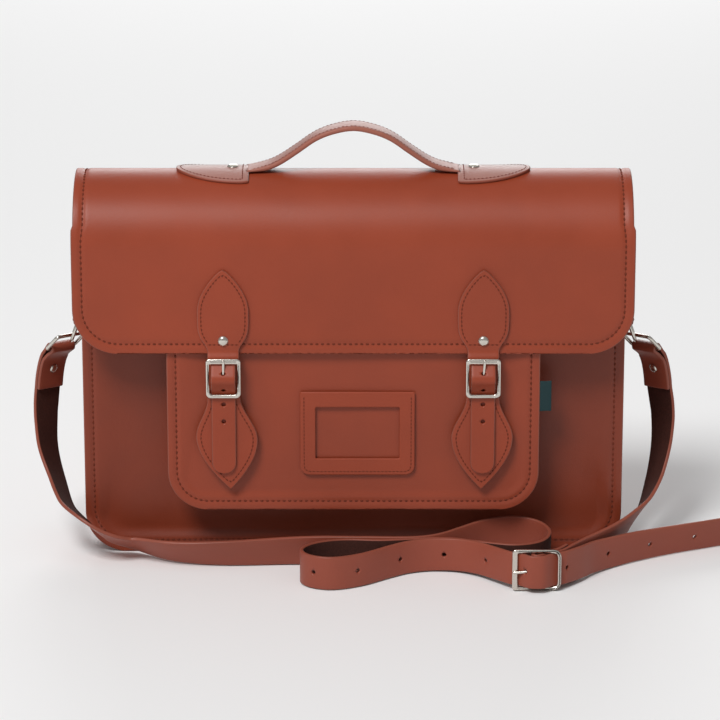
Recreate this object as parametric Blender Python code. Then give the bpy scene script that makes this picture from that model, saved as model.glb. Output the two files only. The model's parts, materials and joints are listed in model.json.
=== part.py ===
"""A stiff leather satchel with two buckled tabs, a front pocket, a top handle and a shoulder strap.

Metres, +Z up, front towards -Y. The origin is under the middle of the bag, on the surface it stands on.
"""

import math

import bmesh
import bpy
from mathutils import Matrix, Vector

# ---- driving dimensions -------------------------------------------------------------------------
GAP = 0.0003  # left between pieces that touch
PANEL_T = 0.0026  # back panel, flap and front panel leather
THIN_T = 0.0022  # leaves, tabs and closure straps
POCKET_T = 0.0024

BAG_HALF_W = 0.2005  # front and back panels
FLAP_HALF_W = 0.2050
BACK_Y = 0.0561  # outer face of the back panel
ARCH_R = 0.05025  # outer radius of the flap where it goes over the top
ARCH_Z = 0.2385  # height of that arch's centre
FLAP_EDGE_Z = 0.1625
FLAP_CORNER_R = 0.033
PANEL_CORNER_R = 0.031
FRONT_PANEL_TOP = 0.2300
FLANGE = 0.0065  # how far the gusset wall sits inside the panels' edges
GUSSET_T = 0.0020
GUSSET_TOP = 0.2240

POCKET_DEPTH = 0.0255  # from the front panel's face to the pocket's face
POCKET_HALF_W = 0.1370
POCKET_BOTTOM = 0.0415
POCKET_TOP = 0.1820
POCKET_CORNER_R = 0.029
POCKET_FLANGE = 0.0045

CARD_X, CARD_HALF_W = 0.0031, 0.0422
CARD_Z0, CARD_Z1 = 0.0686, 0.1326
WINDOW_HALF_W = 0.0309
WINDOW_Z0, WINDOW_Z1 = 0.0814, 0.1208
CARD_T = 0.0018

CLOSURE_X = 0.0950  # the two closures stand at plus and minus this
TAB_AXIS_Z = 0.1640
LEAF_TIP_Z, LEAF_WIDE_Z, LEAF_WIDE = 0.2270, 0.1960, 0.0187
LEAF_NECK = 0.0112
LEAF_RIVET_Z = 0.1729
CLOSURE_STRAP_HALF_W = 0.0090
BUCKLE_HALF_W, BUCKLE_Z0, BUCKLE_Z1 = 0.0132, 0.1306, 0.1604
BUCKLE_BAR = 0.0028
CENTRE_BAR_R = 0.0012
PRONG_R = 0.0008
LOWER_TIP_Z, LOWER_WIDE_Z, LOWER_WIDE = 0.0585, 0.0990, 0.0226
LOWER_NECK_Z, LOWER_NECK = 0.1290, 0.0122
TAIL_END_Z = 0.0715
HOLE_R = 0.0014
TAIL_HOLES_Z = (0.1253, 0.1120)

PAD_X0, PAD_X1, PAD_HALF_W = 0.0765, 0.1300, 0.0245
GRIP_HALF_W, GRIP_T, GRIP_TOP_Z = 0.0112, 0.0034, 0.3235
TONGUE_T, TONGUE_HALF_W = 0.0012, 0.0042  # the grip's ends are pared down under the pads
HANDLE_RIVET_X = 0.0885

SIDE_TAB_HALF_W = 0.0105
SIDE_TAB_T = 0.0020
SIDE_RIVET_Z = 0.2060
RING_WIRE_R = 0.0013
RING_BAR_R = 0.0014
D_BAR_X, D_BAR_Z, D_DEPTH, D_HALF_W = 0.2050, 0.1715, 0.0175, 0.0142
D_LEAN = math.radians(20)

STRAP_W, STRAP_T = 0.0250, 0.0026
SHOULDER_BUCKLE = Vector((0.1333, -0.1030, 0.0162))
SHOULDER_HALF_L, SHOULDER_HALF_H, SHOULDER_BAR_R = 0.0178, 0.0156, 0.0014
SHOULDER_CENTRE_R = 0.0013

# ---- derived places -----------------------------------------------------------------------------
ARCH_Y = BACK_Y - ARCH_R
FLAP_FACE_Y = ARCH_Y - ARCH_R
FLAP_BACK_Y = FLAP_FACE_Y + PANEL_T
POCKET_FACE_Y = FLAP_BACK_Y + 0.0005
FRONT_FACE_Y = POCKET_FACE_Y + POCKET_DEPTH
BODY_INNER_Y = FRONT_FACE_Y + PANEL_T
BACK_INNER_Y = BACK_Y - PANEL_T
SIDE_Y = (BODY_INNER_Y + BACK_INNER_Y) / 2
HINGE_Z = ARCH_Z  # the flap turns about the back panel's outer top edge
LEAF_Y = FLAP_FACE_Y - GAP - THIN_T / 2  # centre of the upper leaf's thickness
SNAP_ROOM = 0.0030  # between the pocket and the lower leaf, for the two halves of the snap
LOWER_LEAF_Y = POCKET_FACE_Y - SNAP_ROOM - THIN_T / 2
STRAP_BEHIND_Y = LOWER_LEAF_Y - THIN_T - GAP
BUCKLE_Y = STRAP_BEHIND_Y - THIN_T / 2 - GAP - BUCKLE_BAR * 0.42
STRAP_OVER_Y = BUCKLE_Y - CENTRE_BAR_R - 2 * PRONG_R - 2 * GAP - THIN_T / 2
CENTRE_BAR_Z = (BUCKLE_Z0 + BUCKLE_Z1) / 2
WALL_X = BAG_HALF_W - FLANGE  # outer face of the gusset's sides


# ---- materials ----------------------------------------------------------------------------------
def material(name, colour, roughness, metallic=0.0):
    made = bpy.data.materials.new(name)
    made.use_nodes = True
    shader = made.node_tree.nodes["Principled BSDF"]
    shader.inputs["Base Color"].default_value = (*colour, 1.0)
    shader.inputs["Roughness"].default_value = roughness
    shader.inputs["Metallic"].default_value = metallic
    return made


def clear_scene():
    for obj in list(bpy.data.objects):
        bpy.data.objects.remove(obj, do_unlink=True)


clear_scene()
LEATHER = material("chestnut_leather", (0.287, 0.068, 0.034), 0.42)
STRAP_LEATHER = material("strap_leather", (0.262, 0.060, 0.031), 0.45)
NICKEL = material("nickel", (0.78, 0.77, 0.75), 0.22, 1.0)
WOVEN = material("teal_weave", (0.012, 0.062, 0.075), 0.85)


# ---- building tools -----------------------------------------------------------------------------
def finish(name, bm, look):
    """Turns a bmesh into a named object with outward faces."""
    bmesh.ops.recalc_face_normals(bm, faces=bm.faces)
    mesh = bpy.data.meshes.new(name)
    bm.to_mesh(mesh)
    bm.free()
    mesh.materials.append(look)
    obj = bpy.data.objects.new(name, mesh)
    bpy.context.scene.collection.objects.link(obj)
    return obj


def strip(name, stations, look):
    """A closed strip. Each station is (centre, across, through): half the width and half the thickness."""
    bm = bmesh.new()
    rings = []
    for centre, across, through in stations:
        corners = (across + through, across - through, -across - through, through - across)
        rings.append([bm.verts.new(centre + corner) for corner in corners])
    for a, b in zip(rings, rings[1:]):
        for i in range(4):
            bm.faces.new((a[i], a[i - 1], b[i - 1], b[i]))
    bm.faces.new(rings[0])
    bm.faces.new(reversed(rings[-1]))
    return finish(name, bm, look)


def path_frames(points):
    """Unit tangents of a run of points."""
    tangents = []
    for i in range(len(points)):
        step = points[min(i + 1, len(points) - 1)] - points[max(i - 1, 0)]
        tangents.append(step.normalized())
    return tangents


def band(name, points, across, thickness, look, half_widths=None):
    """A strip along points whose width runs along the fixed direction across."""
    stations = []
    for i, (point, tangent) in enumerate(zip(points, path_frames(points))):
        half = half_widths[i] if half_widths else across.length
        wide = across.normalized() * half
        thick = thickness[i] if isinstance(thickness, (list, tuple)) else thickness
        stations.append((point, wide, tangent.cross(across).normalized() * thick / 2))
    return strip(name, stations, look)


def smooth(points, count):
    """Points spaced evenly along a Catmull-Rom curve through the given points."""
    ends = [points[0] * 2 - points[1], *points, points[-1] * 2 - points[-2]]
    fine = []
    for i in range(1, len(ends) - 2):
        p0, p1, p2, p3 = ends[i - 1 : i + 3]
        for k in range(24):
            t = k / 24
            fine.append(
                0.5 * (2 * p1 + (p2 - p0) * t + (2 * p0 - 5 * p1 + 4 * p2 - p3) * t * t
                       + (3 * p1 - 3 * p2 + p3 - p0) * t * t * t)
            )
    fine.append(points[-1].copy())
    return even(fine, count)


def even(fine, count):
    reached = [0.0]
    for a, b in zip(fine, fine[1:]):
        reached.append(reached[-1] + (b - a).length)
    out, at = [], 0
    for k in range(count):
        want = reached[-1] * k / (count - 1)
        while at < len(fine) - 2 and reached[at + 1] < want:
            at += 1
        share = (want - reached[at]) / max(reached[at + 1] - reached[at], 1e-9)
        out.append(fine[at].lerp(fine[at + 1], min(share, 1.0)))
    return out


def arc(centre, radius, start, end, steps):
    """(u, v) points of an arc, in degrees anticlockwise from +u."""
    out = []
    for k in range(steps + 1):
        turn = math.radians(start + (end - start) * k / steps)
        out.append((centre[0] + radius * math.cos(turn), centre[1] + radius * math.sin(turn)))
    return out


def wire(name, points, radius, look, closed=True, sides=10):
    """A round wire along points; closed wires join up, open ones have flat ends."""
    bm = bmesh.new()
    count = len(points)
    middle = sum(points, Vector()) / count
    normal = Vector()
    for i in range(count):
        normal += (points[i - 1] - middle).cross(points[i] - middle)
    normal.normalize()
    rings = []
    for i in range(count):
        before = points[i - 1] if closed or i else points[0]
        after = points[(i + 1) % count] if closed or i < count - 1 else points[-1]
        tangent = (after - before).normalized()
        side = tangent.cross(normal).normalized()
        ring = []
        for k in range(sides):
            turn = 2 * math.pi * k / sides
            ring.append(bm.verts.new(points[i] + (side * math.cos(turn) + normal * math.sin(turn)) * radius))
        rings.append(ring)
    pairs = zip(rings, rings[1:] + rings[:1]) if closed else zip(rings, rings[1:])
    for a, b in pairs:
        for k in range(sides):
            bm.faces.new((a[k - 1], a[k], b[k], b[k - 1]))
    if not closed:
        bm.faces.new(rings[0])
        bm.faces.new(rings[-1])
    obj = finish(name, bm, look)
    obj.data.shade_smooth()
    return obj


def turned(name, base, axis, profile, look, sides=16):
    """A turned piece: profile is (radius, height) pairs from the foot to the tip, along axis from base."""
    bm = bmesh.new()
    turn_to = axis.to_track_quat("Z", "Y").to_matrix().to_4x4()
    rings = []
    for radius, height in profile:
        if radius == 0:
            rings.append([bm.verts.new((0, 0, height))])
            continue
        ring = []
        for k in range(sides):
            turn = 2 * math.pi * k / sides
            ring.append(bm.verts.new((radius * math.cos(turn), radius * math.sin(turn), height)))
        rings.append(ring)
    for a, b in zip(rings, rings[1:]):
        for k in range(sides):
            if len(b) == 1:
                bm.faces.new((a[k - 1], a[k], b[0]))
            else:
                bm.faces.new((a[k - 1], a[k], b[k], b[k - 1]))
    bm.faces.new(rings[0])
    if len(rings[-1]) > 1:
        bm.faces.new(rings[-1])
    bmesh.ops.transform(bm, matrix=Matrix.Translation(base) @ turn_to, verts=bm.verts)
    obj = finish(name, bm, look)
    obj.data.shade_smooth()
    return obj


def prism(name, outline, normal_axis, low, high, look):
    """Extrudes a closed (u, v) outline: along Y the outline is (x, z), along X it is (y, z)."""
    bm = bmesh.new()
    rings = []
    for level in (low, high):
        if normal_axis == "Y":
            rings.append([bm.verts.new((u, level, v)) for u, v in outline])
        else:
            rings.append([bm.verts.new((level, u, v)) for u, v in outline])
    count = len(outline)
    for i in range(count):
        bm.faces.new((rings[0][i - 1], rings[0][i], rings[1][i], rings[1][i - 1]))
    bm.faces.new(rings[0])
    bm.faces.new(rings[1])
    return finish(name, bm, look)


def cut(target, cutter):
    """Takes a cutter away from a piece."""
    cutter.hide_render = True
    cutter.display_type = "WIRE"
    boolean = target.modifiers.new("cut_" + cutter.name, "BOOLEAN")
    boolean.operation = "DIFFERENCE"
    boolean.object = cutter


def drill(target, middle, axis, radius, depth, sides=12):
    hole = turned("drill", middle - axis * depth / 2, axis, [(radius, 0), (radius, depth)], LEATHER, sides)
    cut(target, hole)


def panel_outline(half_w, bottom, top, corner, steps=8):
    """A panel with square top corners and round bottom ones, as (x, z)."""
    right = arc((half_w - corner, bottom + corner), corner, -90, 0, steps)
    left = arc((-half_w + corner, bottom + corner), corner, 180, 270, steps)
    return [*right, (half_w, top), (-half_w, top), *left]


def dome_rivet(name, base, axis, head_r, head_h, shank_r, shank):
    """A rivet whose head stands on base, with its shank reaching back through the leather."""
    profile = [(shank_r, -shank), (shank_r, GAP)]
    for k in range(5):
        turn = math.radians(90 * k / 4)
        profile.append((head_r * math.cos(turn) if k < 4 else 0, GAP + head_h * (0.25 + 0.75 * math.sin(turn))))
    profile.insert(2, (head_r, GAP))
    return turned(name, base, axis, profile, NICKEL, 14)


# ---- body ---------------------------------------------------------------------------------------
def make_panels():
    outline = panel_outline(BAG_HALF_W, 0.0, HINGE_Z - GAP, PANEL_CORNER_R)
    prism("back_panel", outline, "Y", BACK_INNER_Y, BACK_Y, LEATHER)
    outline = panel_outline(BAG_HALF_W, 0.0, FRONT_PANEL_TOP, PANEL_CORNER_R)
    prism("front_panel", outline, "Y", FRONT_FACE_Y, BODY_INNER_Y, LEATHER)


def u_path(half_w, bottom, top, corner, steps=8):
    """Down the left side, round both corners and up the right side, as (x, z)."""
    left = arc((-half_w + corner, bottom + corner), corner, 180, 270, steps)
    right = arc((half_w - corner, bottom + corner), corner, -90, 0, steps)
    return [(-half_w, top), *left, *right, (half_w, top)]


def channel(name, half_w, bottom, top, corner, front, back, flange, thickness, back_flange, look):
    """A gusset bent to a U, with a flange turned outwards along its front edge and, if asked, its back edge."""
    outer = u_path(half_w, bottom, top, corner)
    wall = u_path(half_w - flange, bottom + flange, top, corner - flange)
    inner = u_path(half_w - flange - thickness, bottom + flange + thickness, top, corner - flange - thickness)
    bm = bmesh.new()
    rings = []
    for o, w, n in zip(outer, wall, inner):
        section = [(n, front), (o, front), (o, front + thickness), (w, front + thickness)]
        if back_flange:
            section += [(w, back - thickness), (o, back - thickness), (o, back), (n, back)]
        else:
            section += [(w, back), (n, back)]
        rings.append([bm.verts.new((x, y, z)) for (x, z), y in section])
    size = len(rings[0])
    for a, b in zip(rings, rings[1:]):
        for k in range(size):
            bm.faces.new((a[k - 1], a[k], b[k], b[k - 1]))
    bm.faces.new(rings[0])
    bm.faces.new(rings[-1])
    return finish(name, bm, look)


def make_gussets():
    gusset = channel("gusset", BAG_HALF_W, 0.0, GUSSET_TOP, PANEL_CORNER_R, BODY_INNER_Y + GAP,
                     BACK_INNER_Y - GAP, FLANGE, GUSSET_T, True, LEATHER)
    channel("pocket_gusset", POCKET_HALF_W, POCKET_BOTTOM, POCKET_TOP - 0.004, POCKET_CORNER_R,
            POCKET_FACE_Y + POCKET_T + GAP, FRONT_FACE_Y - GAP, POCKET_FLANGE, 0.0018, False, LEATHER)
    return gusset


def make_pocket():
    outline = panel_outline(POCKET_HALF_W, POCKET_BOTTOM, POCKET_TOP, POCKET_CORNER_R)
    prism("pocket_front", outline, "Y", POCKET_FACE_Y, POCKET_FACE_Y + POCKET_T, LEATHER)
    card = panel_outline(CARD_HALF_W, CARD_Z0, CARD_Z1, 0.006, 4)
    card = [(x + CARD_X, z) for x, z in card]
    holder = prism("card_holder", card, "Y", POCKET_FACE_Y - GAP - CARD_T, POCKET_FACE_Y - GAP, LEATHER)
    window = [(CARD_X + sx * WINDOW_HALF_W, z)
              for sx, z in ((-1, WINDOW_Z0), (1, WINDOW_Z0), (1, WINDOW_Z1), (-1, WINDOW_Z1))]
    cut(holder, prism("window_cutter", window, "Y", POCKET_FACE_Y - 0.01, POCKET_FACE_Y + 0.01, LEATHER))
    tab = [(POCKET_HALF_W + GAP, 0.1180), (POCKET_HALF_W + 0.0086, 0.1180),
           (POCKET_HALF_W + 0.0086, 0.1390), (POCKET_HALF_W + GAP, 0.1390)]
    prism("label_tab", tab, "Y", POCKET_FACE_Y + 0.0008, POCKET_FACE_Y + 0.0018, WOVEN)


# ---- flap ---------------------------------------------------------------------------------------
def flap_path():
    """(y, z, half width, thickness) along the middle of the flap's leather, from hinge to lower edge."""
    out = []
    for y, z in arc((ARCH_Y, ARCH_Z), ARCH_R - PANEL_T / 2, 0, 180, 24):
        out.append((y, z, FLAP_HALF_W, PANEL_T))
    face = FLAP_FACE_Y + PANEL_T / 2
    for k in range(9):
        turn = math.radians(90 * k / 8)
        z = FLAP_EDGE_Z + FLAP_CORNER_R * (1 - math.sin(turn))
        half = FLAP_HALF_W - FLAP_CORNER_R * (1 - math.cos(turn))
        out.append((face, z, half, PANEL_T))
    return out


def make_flap():
    across = Vector((1, 0, 0))
    path = flap_path()
    points = [Vector((0, row[0], row[1])) for row in path]
    flap = band("flap", points, across, [row[3] for row in path], LEATHER, [row[2] for row in path])
    for side in (-1, 1):
        drill(flap, Vector((side * CLOSURE_X, FLAP_FACE_Y, LEAF_RIVET_Z)), Vector((0, 1, 0)), 0.0019, 0.02)
        drill(flap, Vector((side * HANDLE_RIVET_X, ARCH_Y, ARCH_Z + ARCH_R)), Vector((0, 0, 1)), 0.0019, 0.02)


def make_handle():
    crest = ARCH_Z + ARCH_R
    low = crest + GAP + TONGUE_T / 2
    pad_r = ARCH_R + GAP * 3 + TONGUE_T
    for side, word in ((-1, "left"), (1, "right")):
        bm = bmesh.new()
        rings = []
        steps = 12
        for k in range(steps + 1):
            share = k / steps
            x = PAD_X0 + (PAD_X1 - PAD_X0) * share
            taper = math.sqrt(max(1 - max(share - 0.12, 0) ** 2 / 0.88 ** 2, 0.02))
            spread = PAD_HALF_W * (0.96 + 0.04 * min(share / 0.12, 1)) * taper / pad_r
            ring = []
            for radius, order in ((pad_r + THIN_T, 1), (pad_r, -1)):
                for j in range(9):
                    turn = order * spread * (j / 4 - 1)
                    ring.append(bm.verts.new((side * x, ARCH_Y + radius * math.sin(turn),
                                              ARCH_Z + radius * math.cos(turn))))
            rings.append(ring)
        for a, b in zip(rings, rings[1:]):
            for j in range(18):
                bm.faces.new((a[j - 1], a[j], b[j], b[j - 1]))
        bm.faces.new(rings[0])
        bm.faces.new(rings[-1])
        pad = finish("handle_pad_" + word, bm, LEATHER)
        spot = Vector((side * HANDLE_RIVET_X, ARCH_Y, ARCH_Z + pad_r + THIN_T))
        drill(pad, spot, Vector((0, 0, 1)), 0.0019, 0.012)
        dome_rivet("handle_rivet_" + word, spot, Vector((0, 0, 1)), 0.0042, 0.0016, 0.0015, 0.0062)
    rise = [(-0.0770, low), (-0.0700, crest + 0.0022), (-0.0620, crest + 0.0038), (-0.0530, crest + 0.0080),
            (-0.0410, crest + 0.0160), (-0.0280, crest + 0.0250), (-0.0150, GRIP_TOP_Z - GRIP_T / 2 - 0.0026),
            (0.0, GRIP_TOP_Z - GRIP_T / 2)]
    route = [*rise, *[(-x, z) for x, z in reversed(rise[:-1])]]
    points = smooth([Vector((x, ARCH_Y, z)) for x, z in route], 33)
    ends = [Vector((-0.1180, ARCH_Y, low)), Vector((-0.0800, ARCH_Y, low))]
    points = [*ends, *points, *[Vector((-p.x, p.y, p.z)) for p in reversed(ends)]]
    thick, half = [], []
    for point in points:
        away = min(max((0.0755 - abs(point.x)) / 0.012, 0), 1)
        thick.append(TONGUE_T + (GRIP_T - TONGUE_T) * away)
        half.append(GRIP_HALF_W if abs(point.x) < 0.0762 else TONGUE_HALF_W)
    grip = band("handle_grip", points, Vector((0, 1, 0)), thick, LEATHER, half)
    for side in (-1, 1):
        drill(grip, Vector((side * HANDLE_RIVET_X, ARCH_Y, low)), Vector((0, 0, 1)), 0.0019, 0.008)


# ---- closures -----------------------------------------------------------------------------------
def leaf_half_width(share, wide, neck):
    """Half the width of a leaf: 0 at its tip, widest at share 1, down to its neck at share 2."""
    if share < 1:
        return wide * math.sin(share * math.pi / 2) ** 0.88
    return neck + (wide - neck) * (0.5 + 0.5 * math.cos((share - 1) * math.pi))


def make_upper_leaf(x, word):
    stations = []
    end = TAB_AXIS_Z + THIN_T / 2 + GAP * 1.5
    shares = [0.02, 0.08, 0.18, 0.3, 0.45, 0.6, 0.75, 0.9, 1.05, 1.2, 1.35, 1.5, 1.65, 1.8, 1.92, 2.0]
    for share in shares:
        if share < 1:
            z = LEAF_TIP_Z + (LEAF_WIDE_Z - LEAF_TIP_Z) * share
        else:
            z = LEAF_WIDE_Z + (LEAF_RIVET_Z - 0.004 - LEAF_WIDE_Z) * (share - 1)
        half = leaf_half_width(share, LEAF_WIDE, LEAF_NECK)
        stations.append((Vector((x, LEAF_Y, z)), Vector((half, 0, 0)), Vector((0, THIN_T / 2, 0))))
    stations.append((Vector((x, LEAF_Y, end)), Vector((LEAF_NECK, 0, 0)), Vector((0, THIN_T / 2, 0))))
    leaf = strip("upper_leaf_" + word, stations, LEATHER)
    forward = Vector((0, -1, 0))
    spot = Vector((x, LEAF_Y - THIN_T / 2, LEAF_RIVET_Z))
    drill(leaf, spot, forward, 0.0019, 0.012)
    dome_rivet("leaf_rivet_" + word, spot, forward, 0.0037, 0.0021, 0.0015, 0.0048)


def closure_profile():
    """(y, z) along the closure strap's middle, from its bend at the flap's edge to its free end."""
    over = CENTRE_BAR_Z
    half_way = (STRAP_BEHIND_Y + STRAP_OVER_Y) / 2
    return [
        (LEAF_Y, TAB_AXIS_Z - 0.0012), (STRAP_BEHIND_Y, BUCKLE_Z1 - 0.0002),
        (STRAP_BEHIND_Y, BUCKLE_Z1 - BUCKLE_BAR - 0.0002), (half_way, over + 0.0064),
        (STRAP_OVER_Y + 0.0005, over + 0.0022), (STRAP_OVER_Y, over), (STRAP_OVER_Y + 0.0005, over - 0.0022),
        (half_way, over - 0.0064), (STRAP_BEHIND_Y, BUCKLE_Z0 + BUCKLE_BAR + 0.0002),
        (STRAP_BEHIND_Y, BUCKLE_Z0 - 0.0010), (STRAP_BEHIND_Y, 0.1200), (STRAP_BEHIND_Y, 0.1000),
        (STRAP_BEHIND_Y, TAIL_END_Z),
    ]


def make_closure_strap(x, word):
    across = Vector((1, 0, 0))
    r = THIN_T / 2
    points, thick, half = [], [], []
    for k in range(4):
        turn = math.radians(90 - 30 * k)
        points.append(Vector((x, LEAF_Y, TAB_AXIS_Z + r * math.sin(turn))))
        thick.append(max(2 * r * math.cos(turn), 0.0004))
        half.append(CLOSURE_STRAP_HALF_W)
    run = smooth([Vector((x, y, z)) for y, z in closure_profile()], 56)
    tail_round = 0.0085
    for point in run:
        points.append(point)
        thick.append(THIN_T)
        left = min(max(point.z - TAIL_END_Z, 0.0) / tail_round, 1.0)
        half.append(CLOSURE_STRAP_HALF_W * math.sqrt(max(1 - (1 - left) ** 2, 0.06)))
    strap = band("closure_strap_" + word, points, across, thick, STRAP_LEATHER, half)
    slot = arc((x, CENTRE_BAR_Z + 0.0070), HOLE_R, 0, 180, 6) + arc((x, CENTRE_BAR_Z), HOLE_R, 180, 360, 6)
    cut(strap, prism("slot_cutter", slot, "Y", BUCKLE_Y - 0.02, BUCKLE_Y + 0.02, LEATHER))
    for z in TAIL_HOLES_Z:
        drill(strap, Vector((x, STRAP_BEHIND_Y, z)), Vector((0, 1, 0)), HOLE_R, 0.006)


def make_lower_leaf(x, word):
    """The pointed leaf, whose top turns round the buckle's centre bar on both sides of the prong."""
    across = Vector((1, 0, 0))
    loop_r = CENTRE_BAR_R + GAP + 0.0006
    loop_t = 0.0012
    low = [(LOWER_LEAF_Y - 0.0010, CENTRE_BAR_Z - 0.0058), (LOWER_LEAF_Y, CENTRE_BAR_Z - 0.0105)]
    path = lower_loop(x, loop_r)
    thick = [loop_t] * len(path)
    half = [CLOSURE_STRAP_HALF_W - 0.0004] * len(path)
    for k, (y, z) in enumerate(low):
        path.append(Vector((x, y, z)))
        thick.append(loop_t + (THIN_T - loop_t) * (k + 1) / 2)
        half.append(CLOSURE_STRAP_HALF_W + 0.0010 * k)
    shares = [2.0, 1.9, 1.75, 1.6, 1.45, 1.3, 1.15, 1.0, 0.85, 0.7, 0.55, 0.4, 0.26, 0.14, 0.06, 0.015]
    for share in shares:
        if share < 1:
            z = LOWER_TIP_Z + (LOWER_WIDE_Z - LOWER_TIP_Z) * share
        else:
            z = LOWER_WIDE_Z + (LOWER_NECK_Z - LOWER_WIDE_Z) * (share - 1)
        path.append(Vector((x, LOWER_LEAF_Y, z)))
        thick.append(THIN_T)
        half.append(leaf_half_width(share, LOWER_WIDE, LOWER_NECK))
    leaf = band("lower_leaf_" + word, path, across, thick, LEATHER, half)
    slot = [(x - 0.0022, CENTRE_BAR_Z - 0.0036), (x + 0.0022, CENTRE_BAR_Z - 0.0036),
            (x + 0.0022, CENTRE_BAR_Z + 0.01), (x - 0.0022, CENTRE_BAR_Z + 0.01)]
    cut(leaf, prism("prong_slot_cutter", slot, "Y", BUCKLE_Y - 0.02, BUCKLE_Y + 0.02, LEATHER))


def lower_loop(x, loop_r):
    """Points round the back of the centre bar, from above it to below it."""
    out = []
    for y, z in arc((BUCKLE_Y, CENTRE_BAR_Z), loop_r, 95, -60, 8):
        out.append(Vector((x, y, z)))
    return out


def rounded_loop(half_u, half_v, corner, steps=4):
    """(u, v) round a rectangle with round corners."""
    out = []
    for su, sv, start in ((1, 1, 0), (-1, 1, 90), (-1, -1, 180), (1, -1, 270)):
        centre = (su * (half_u - corner), sv * (half_v - corner))
        out += arc(centre, corner, start, start + 90, steps)
    return out


def frame_with_bar(name, centre, u, v, half_u, half_v, bar, corner, centre_r):
    """A buckle: a rounded rectangular frame of square bar with a round bar across its middle, along u."""
    n = u.cross(v)
    outer = rounded_loop(half_u, half_v, corner)
    inner = rounded_loop(half_u - bar, half_v - bar, max(corner - bar, 0.0008))
    bm = bmesh.new()
    rings = []
    for (a, b), (c, d) in zip(outer, inner):
        ring = []
        for p, q, level in ((a, b, -0.42), (a, b, 0.42), (c, d, 0.42), (c, d, -0.42)):
            ring.append(bm.verts.new(centre + u * p + v * q + n * (level * bar)))
        rings.append(ring)
    for a, b in zip(rings, rings[1:] + rings[:1]):
        for k in range(4):
            bm.faces.new((a[k - 1], a[k], b[k], b[k - 1]))
    frame = finish(name, bm, NICKEL)
    reach = half_u - bar * 0.5
    middle = turned(name + "_bar", centre - u * reach, u, [(centre_r, 0), (centre_r, 2 * reach)], NICKEL, 12)
    join = frame.modifiers.new("centre_bar", "BOOLEAN")
    join.operation = "UNION"
    join.object = middle
    middle.hide_render = True
    middle.display_type = "WIRE"
    return frame


def make_prong(name, centre, v, n, reach, bar_r, front):
    """A prong on a centre bar: an eye round the bar, and a pin towards v that ends in front of the frame."""
    ring_r = bar_r + PRONG_R + 0.0002
    points = []
    for a, b in arc((0, 0), ring_r, 150, 390, 14):
        points.append(centre + n * a + v * b)
    tip = centre + v * reach + n * front
    middle = centre + v * (reach * 0.55) + n * (front * 0.72)
    start = points[-1]
    pin = smooth([start, start.lerp(middle, 0.5) + n * 0.0002, middle, tip], 8)
    return wire(name, [*points, *pin[1:]], PRONG_R, NICKEL, closed=False, sides=8)


def make_closures():
    for side, word in ((-1, "left"), (1, "right")):
        x = side * CLOSURE_X
        make_upper_leaf(x, word)
        make_closure_strap(x, word)
        make_lower_leaf(x, word)
        centre = Vector((x, BUCKLE_Y, CENTRE_BAR_Z))
        u, v = Vector((1, 0, 0)), Vector((0, 0, 1))
        half_h = (BUCKLE_Z1 - BUCKLE_Z0) / 2
        frame_with_bar("closure_buckle_" + word, centre, u, v, BUCKLE_HALF_W, half_h, BUCKLE_BAR, 0.0034,
                       CENTRE_BAR_R)
        forward = Vector((0, -1, 0))
        front = BUCKLE_BAR * 0.42 + PRONG_R + 0.0002
        make_prong("closure_prong_" + word, centre, v, forward, half_h - 0.0004, CENTRE_BAR_R, front)
        stud = Vector((x, LOWER_LEAF_Y + THIN_T / 2 + GAP, 0.0880))
        room = POCKET_FACE_Y - stud.y
        turned("snap_stud_" + word, stud, -forward, [(0.0072, 0), (0.0072, room * 0.5 - GAP * 0.6)], NICKEL, 20)
        base = Vector((x, POCKET_FACE_Y - GAP, 0.0880))
        turned("snap_base_" + word, base, forward, [(0.0078, 0), (0.0078, room * 0.5 - GAP * 0.9)], NICKEL, 20)


# ---- side hardware ------------------------------------------------------------------------------
def side_tab_path(side):
    """(x, z) of the tab's strip: down its outer layer, round the ring's bar and up its inner layer."""
    inner_x = WALL_X + GAP + SIDE_TAB_T / 2
    outer_x = inner_x + SIDE_TAB_T + GAP
    loop = RING_WIRE_R + GAP + SIDE_TAB_T / 2
    path = [(outer_x, 0.2160), (outer_x, 0.2060), (outer_x + 0.0007, 0.1980), (D_BAR_X + loop * 0.97, 0.1760)]
    path += arc((D_BAR_X, D_BAR_Z), loop, 10, -165, 10)
    path += [(D_BAR_X - loop * 0.86, 0.1745), (inner_x + 0.0010, 0.1960), (inner_x, 0.2040), (inner_x, 0.2180)]
    return [(side * x, z) for x, z in path]


def make_side_hardware():
    for side, word in ((-1, "left"), (1, "right")):
        points = [Vector((x, SIDE_Y, z)) for x, z in side_tab_path(side)]
        tab = band("side_tab_" + word, points, Vector((0, SIDE_TAB_HALF_W, 0)), SIDE_TAB_T, LEATHER)
        out = Vector((side, 0, 0))
        spot = Vector((side * (WALL_X + 2 * GAP + 2 * SIDE_TAB_T), SIDE_Y, SIDE_RIVET_Z))
        drill(tab, spot, out, 0.0019, 0.014)
        drill(bpy.data.objects["gusset"], spot, out, 0.0019, 0.018)
        dome_rivet("side_rivet_" + word, spot, out, 0.0037, 0.0018, 0.0015, 0.0066)
        make_d_ring(side, word)
        make_strap_ring(side, word)


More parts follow.
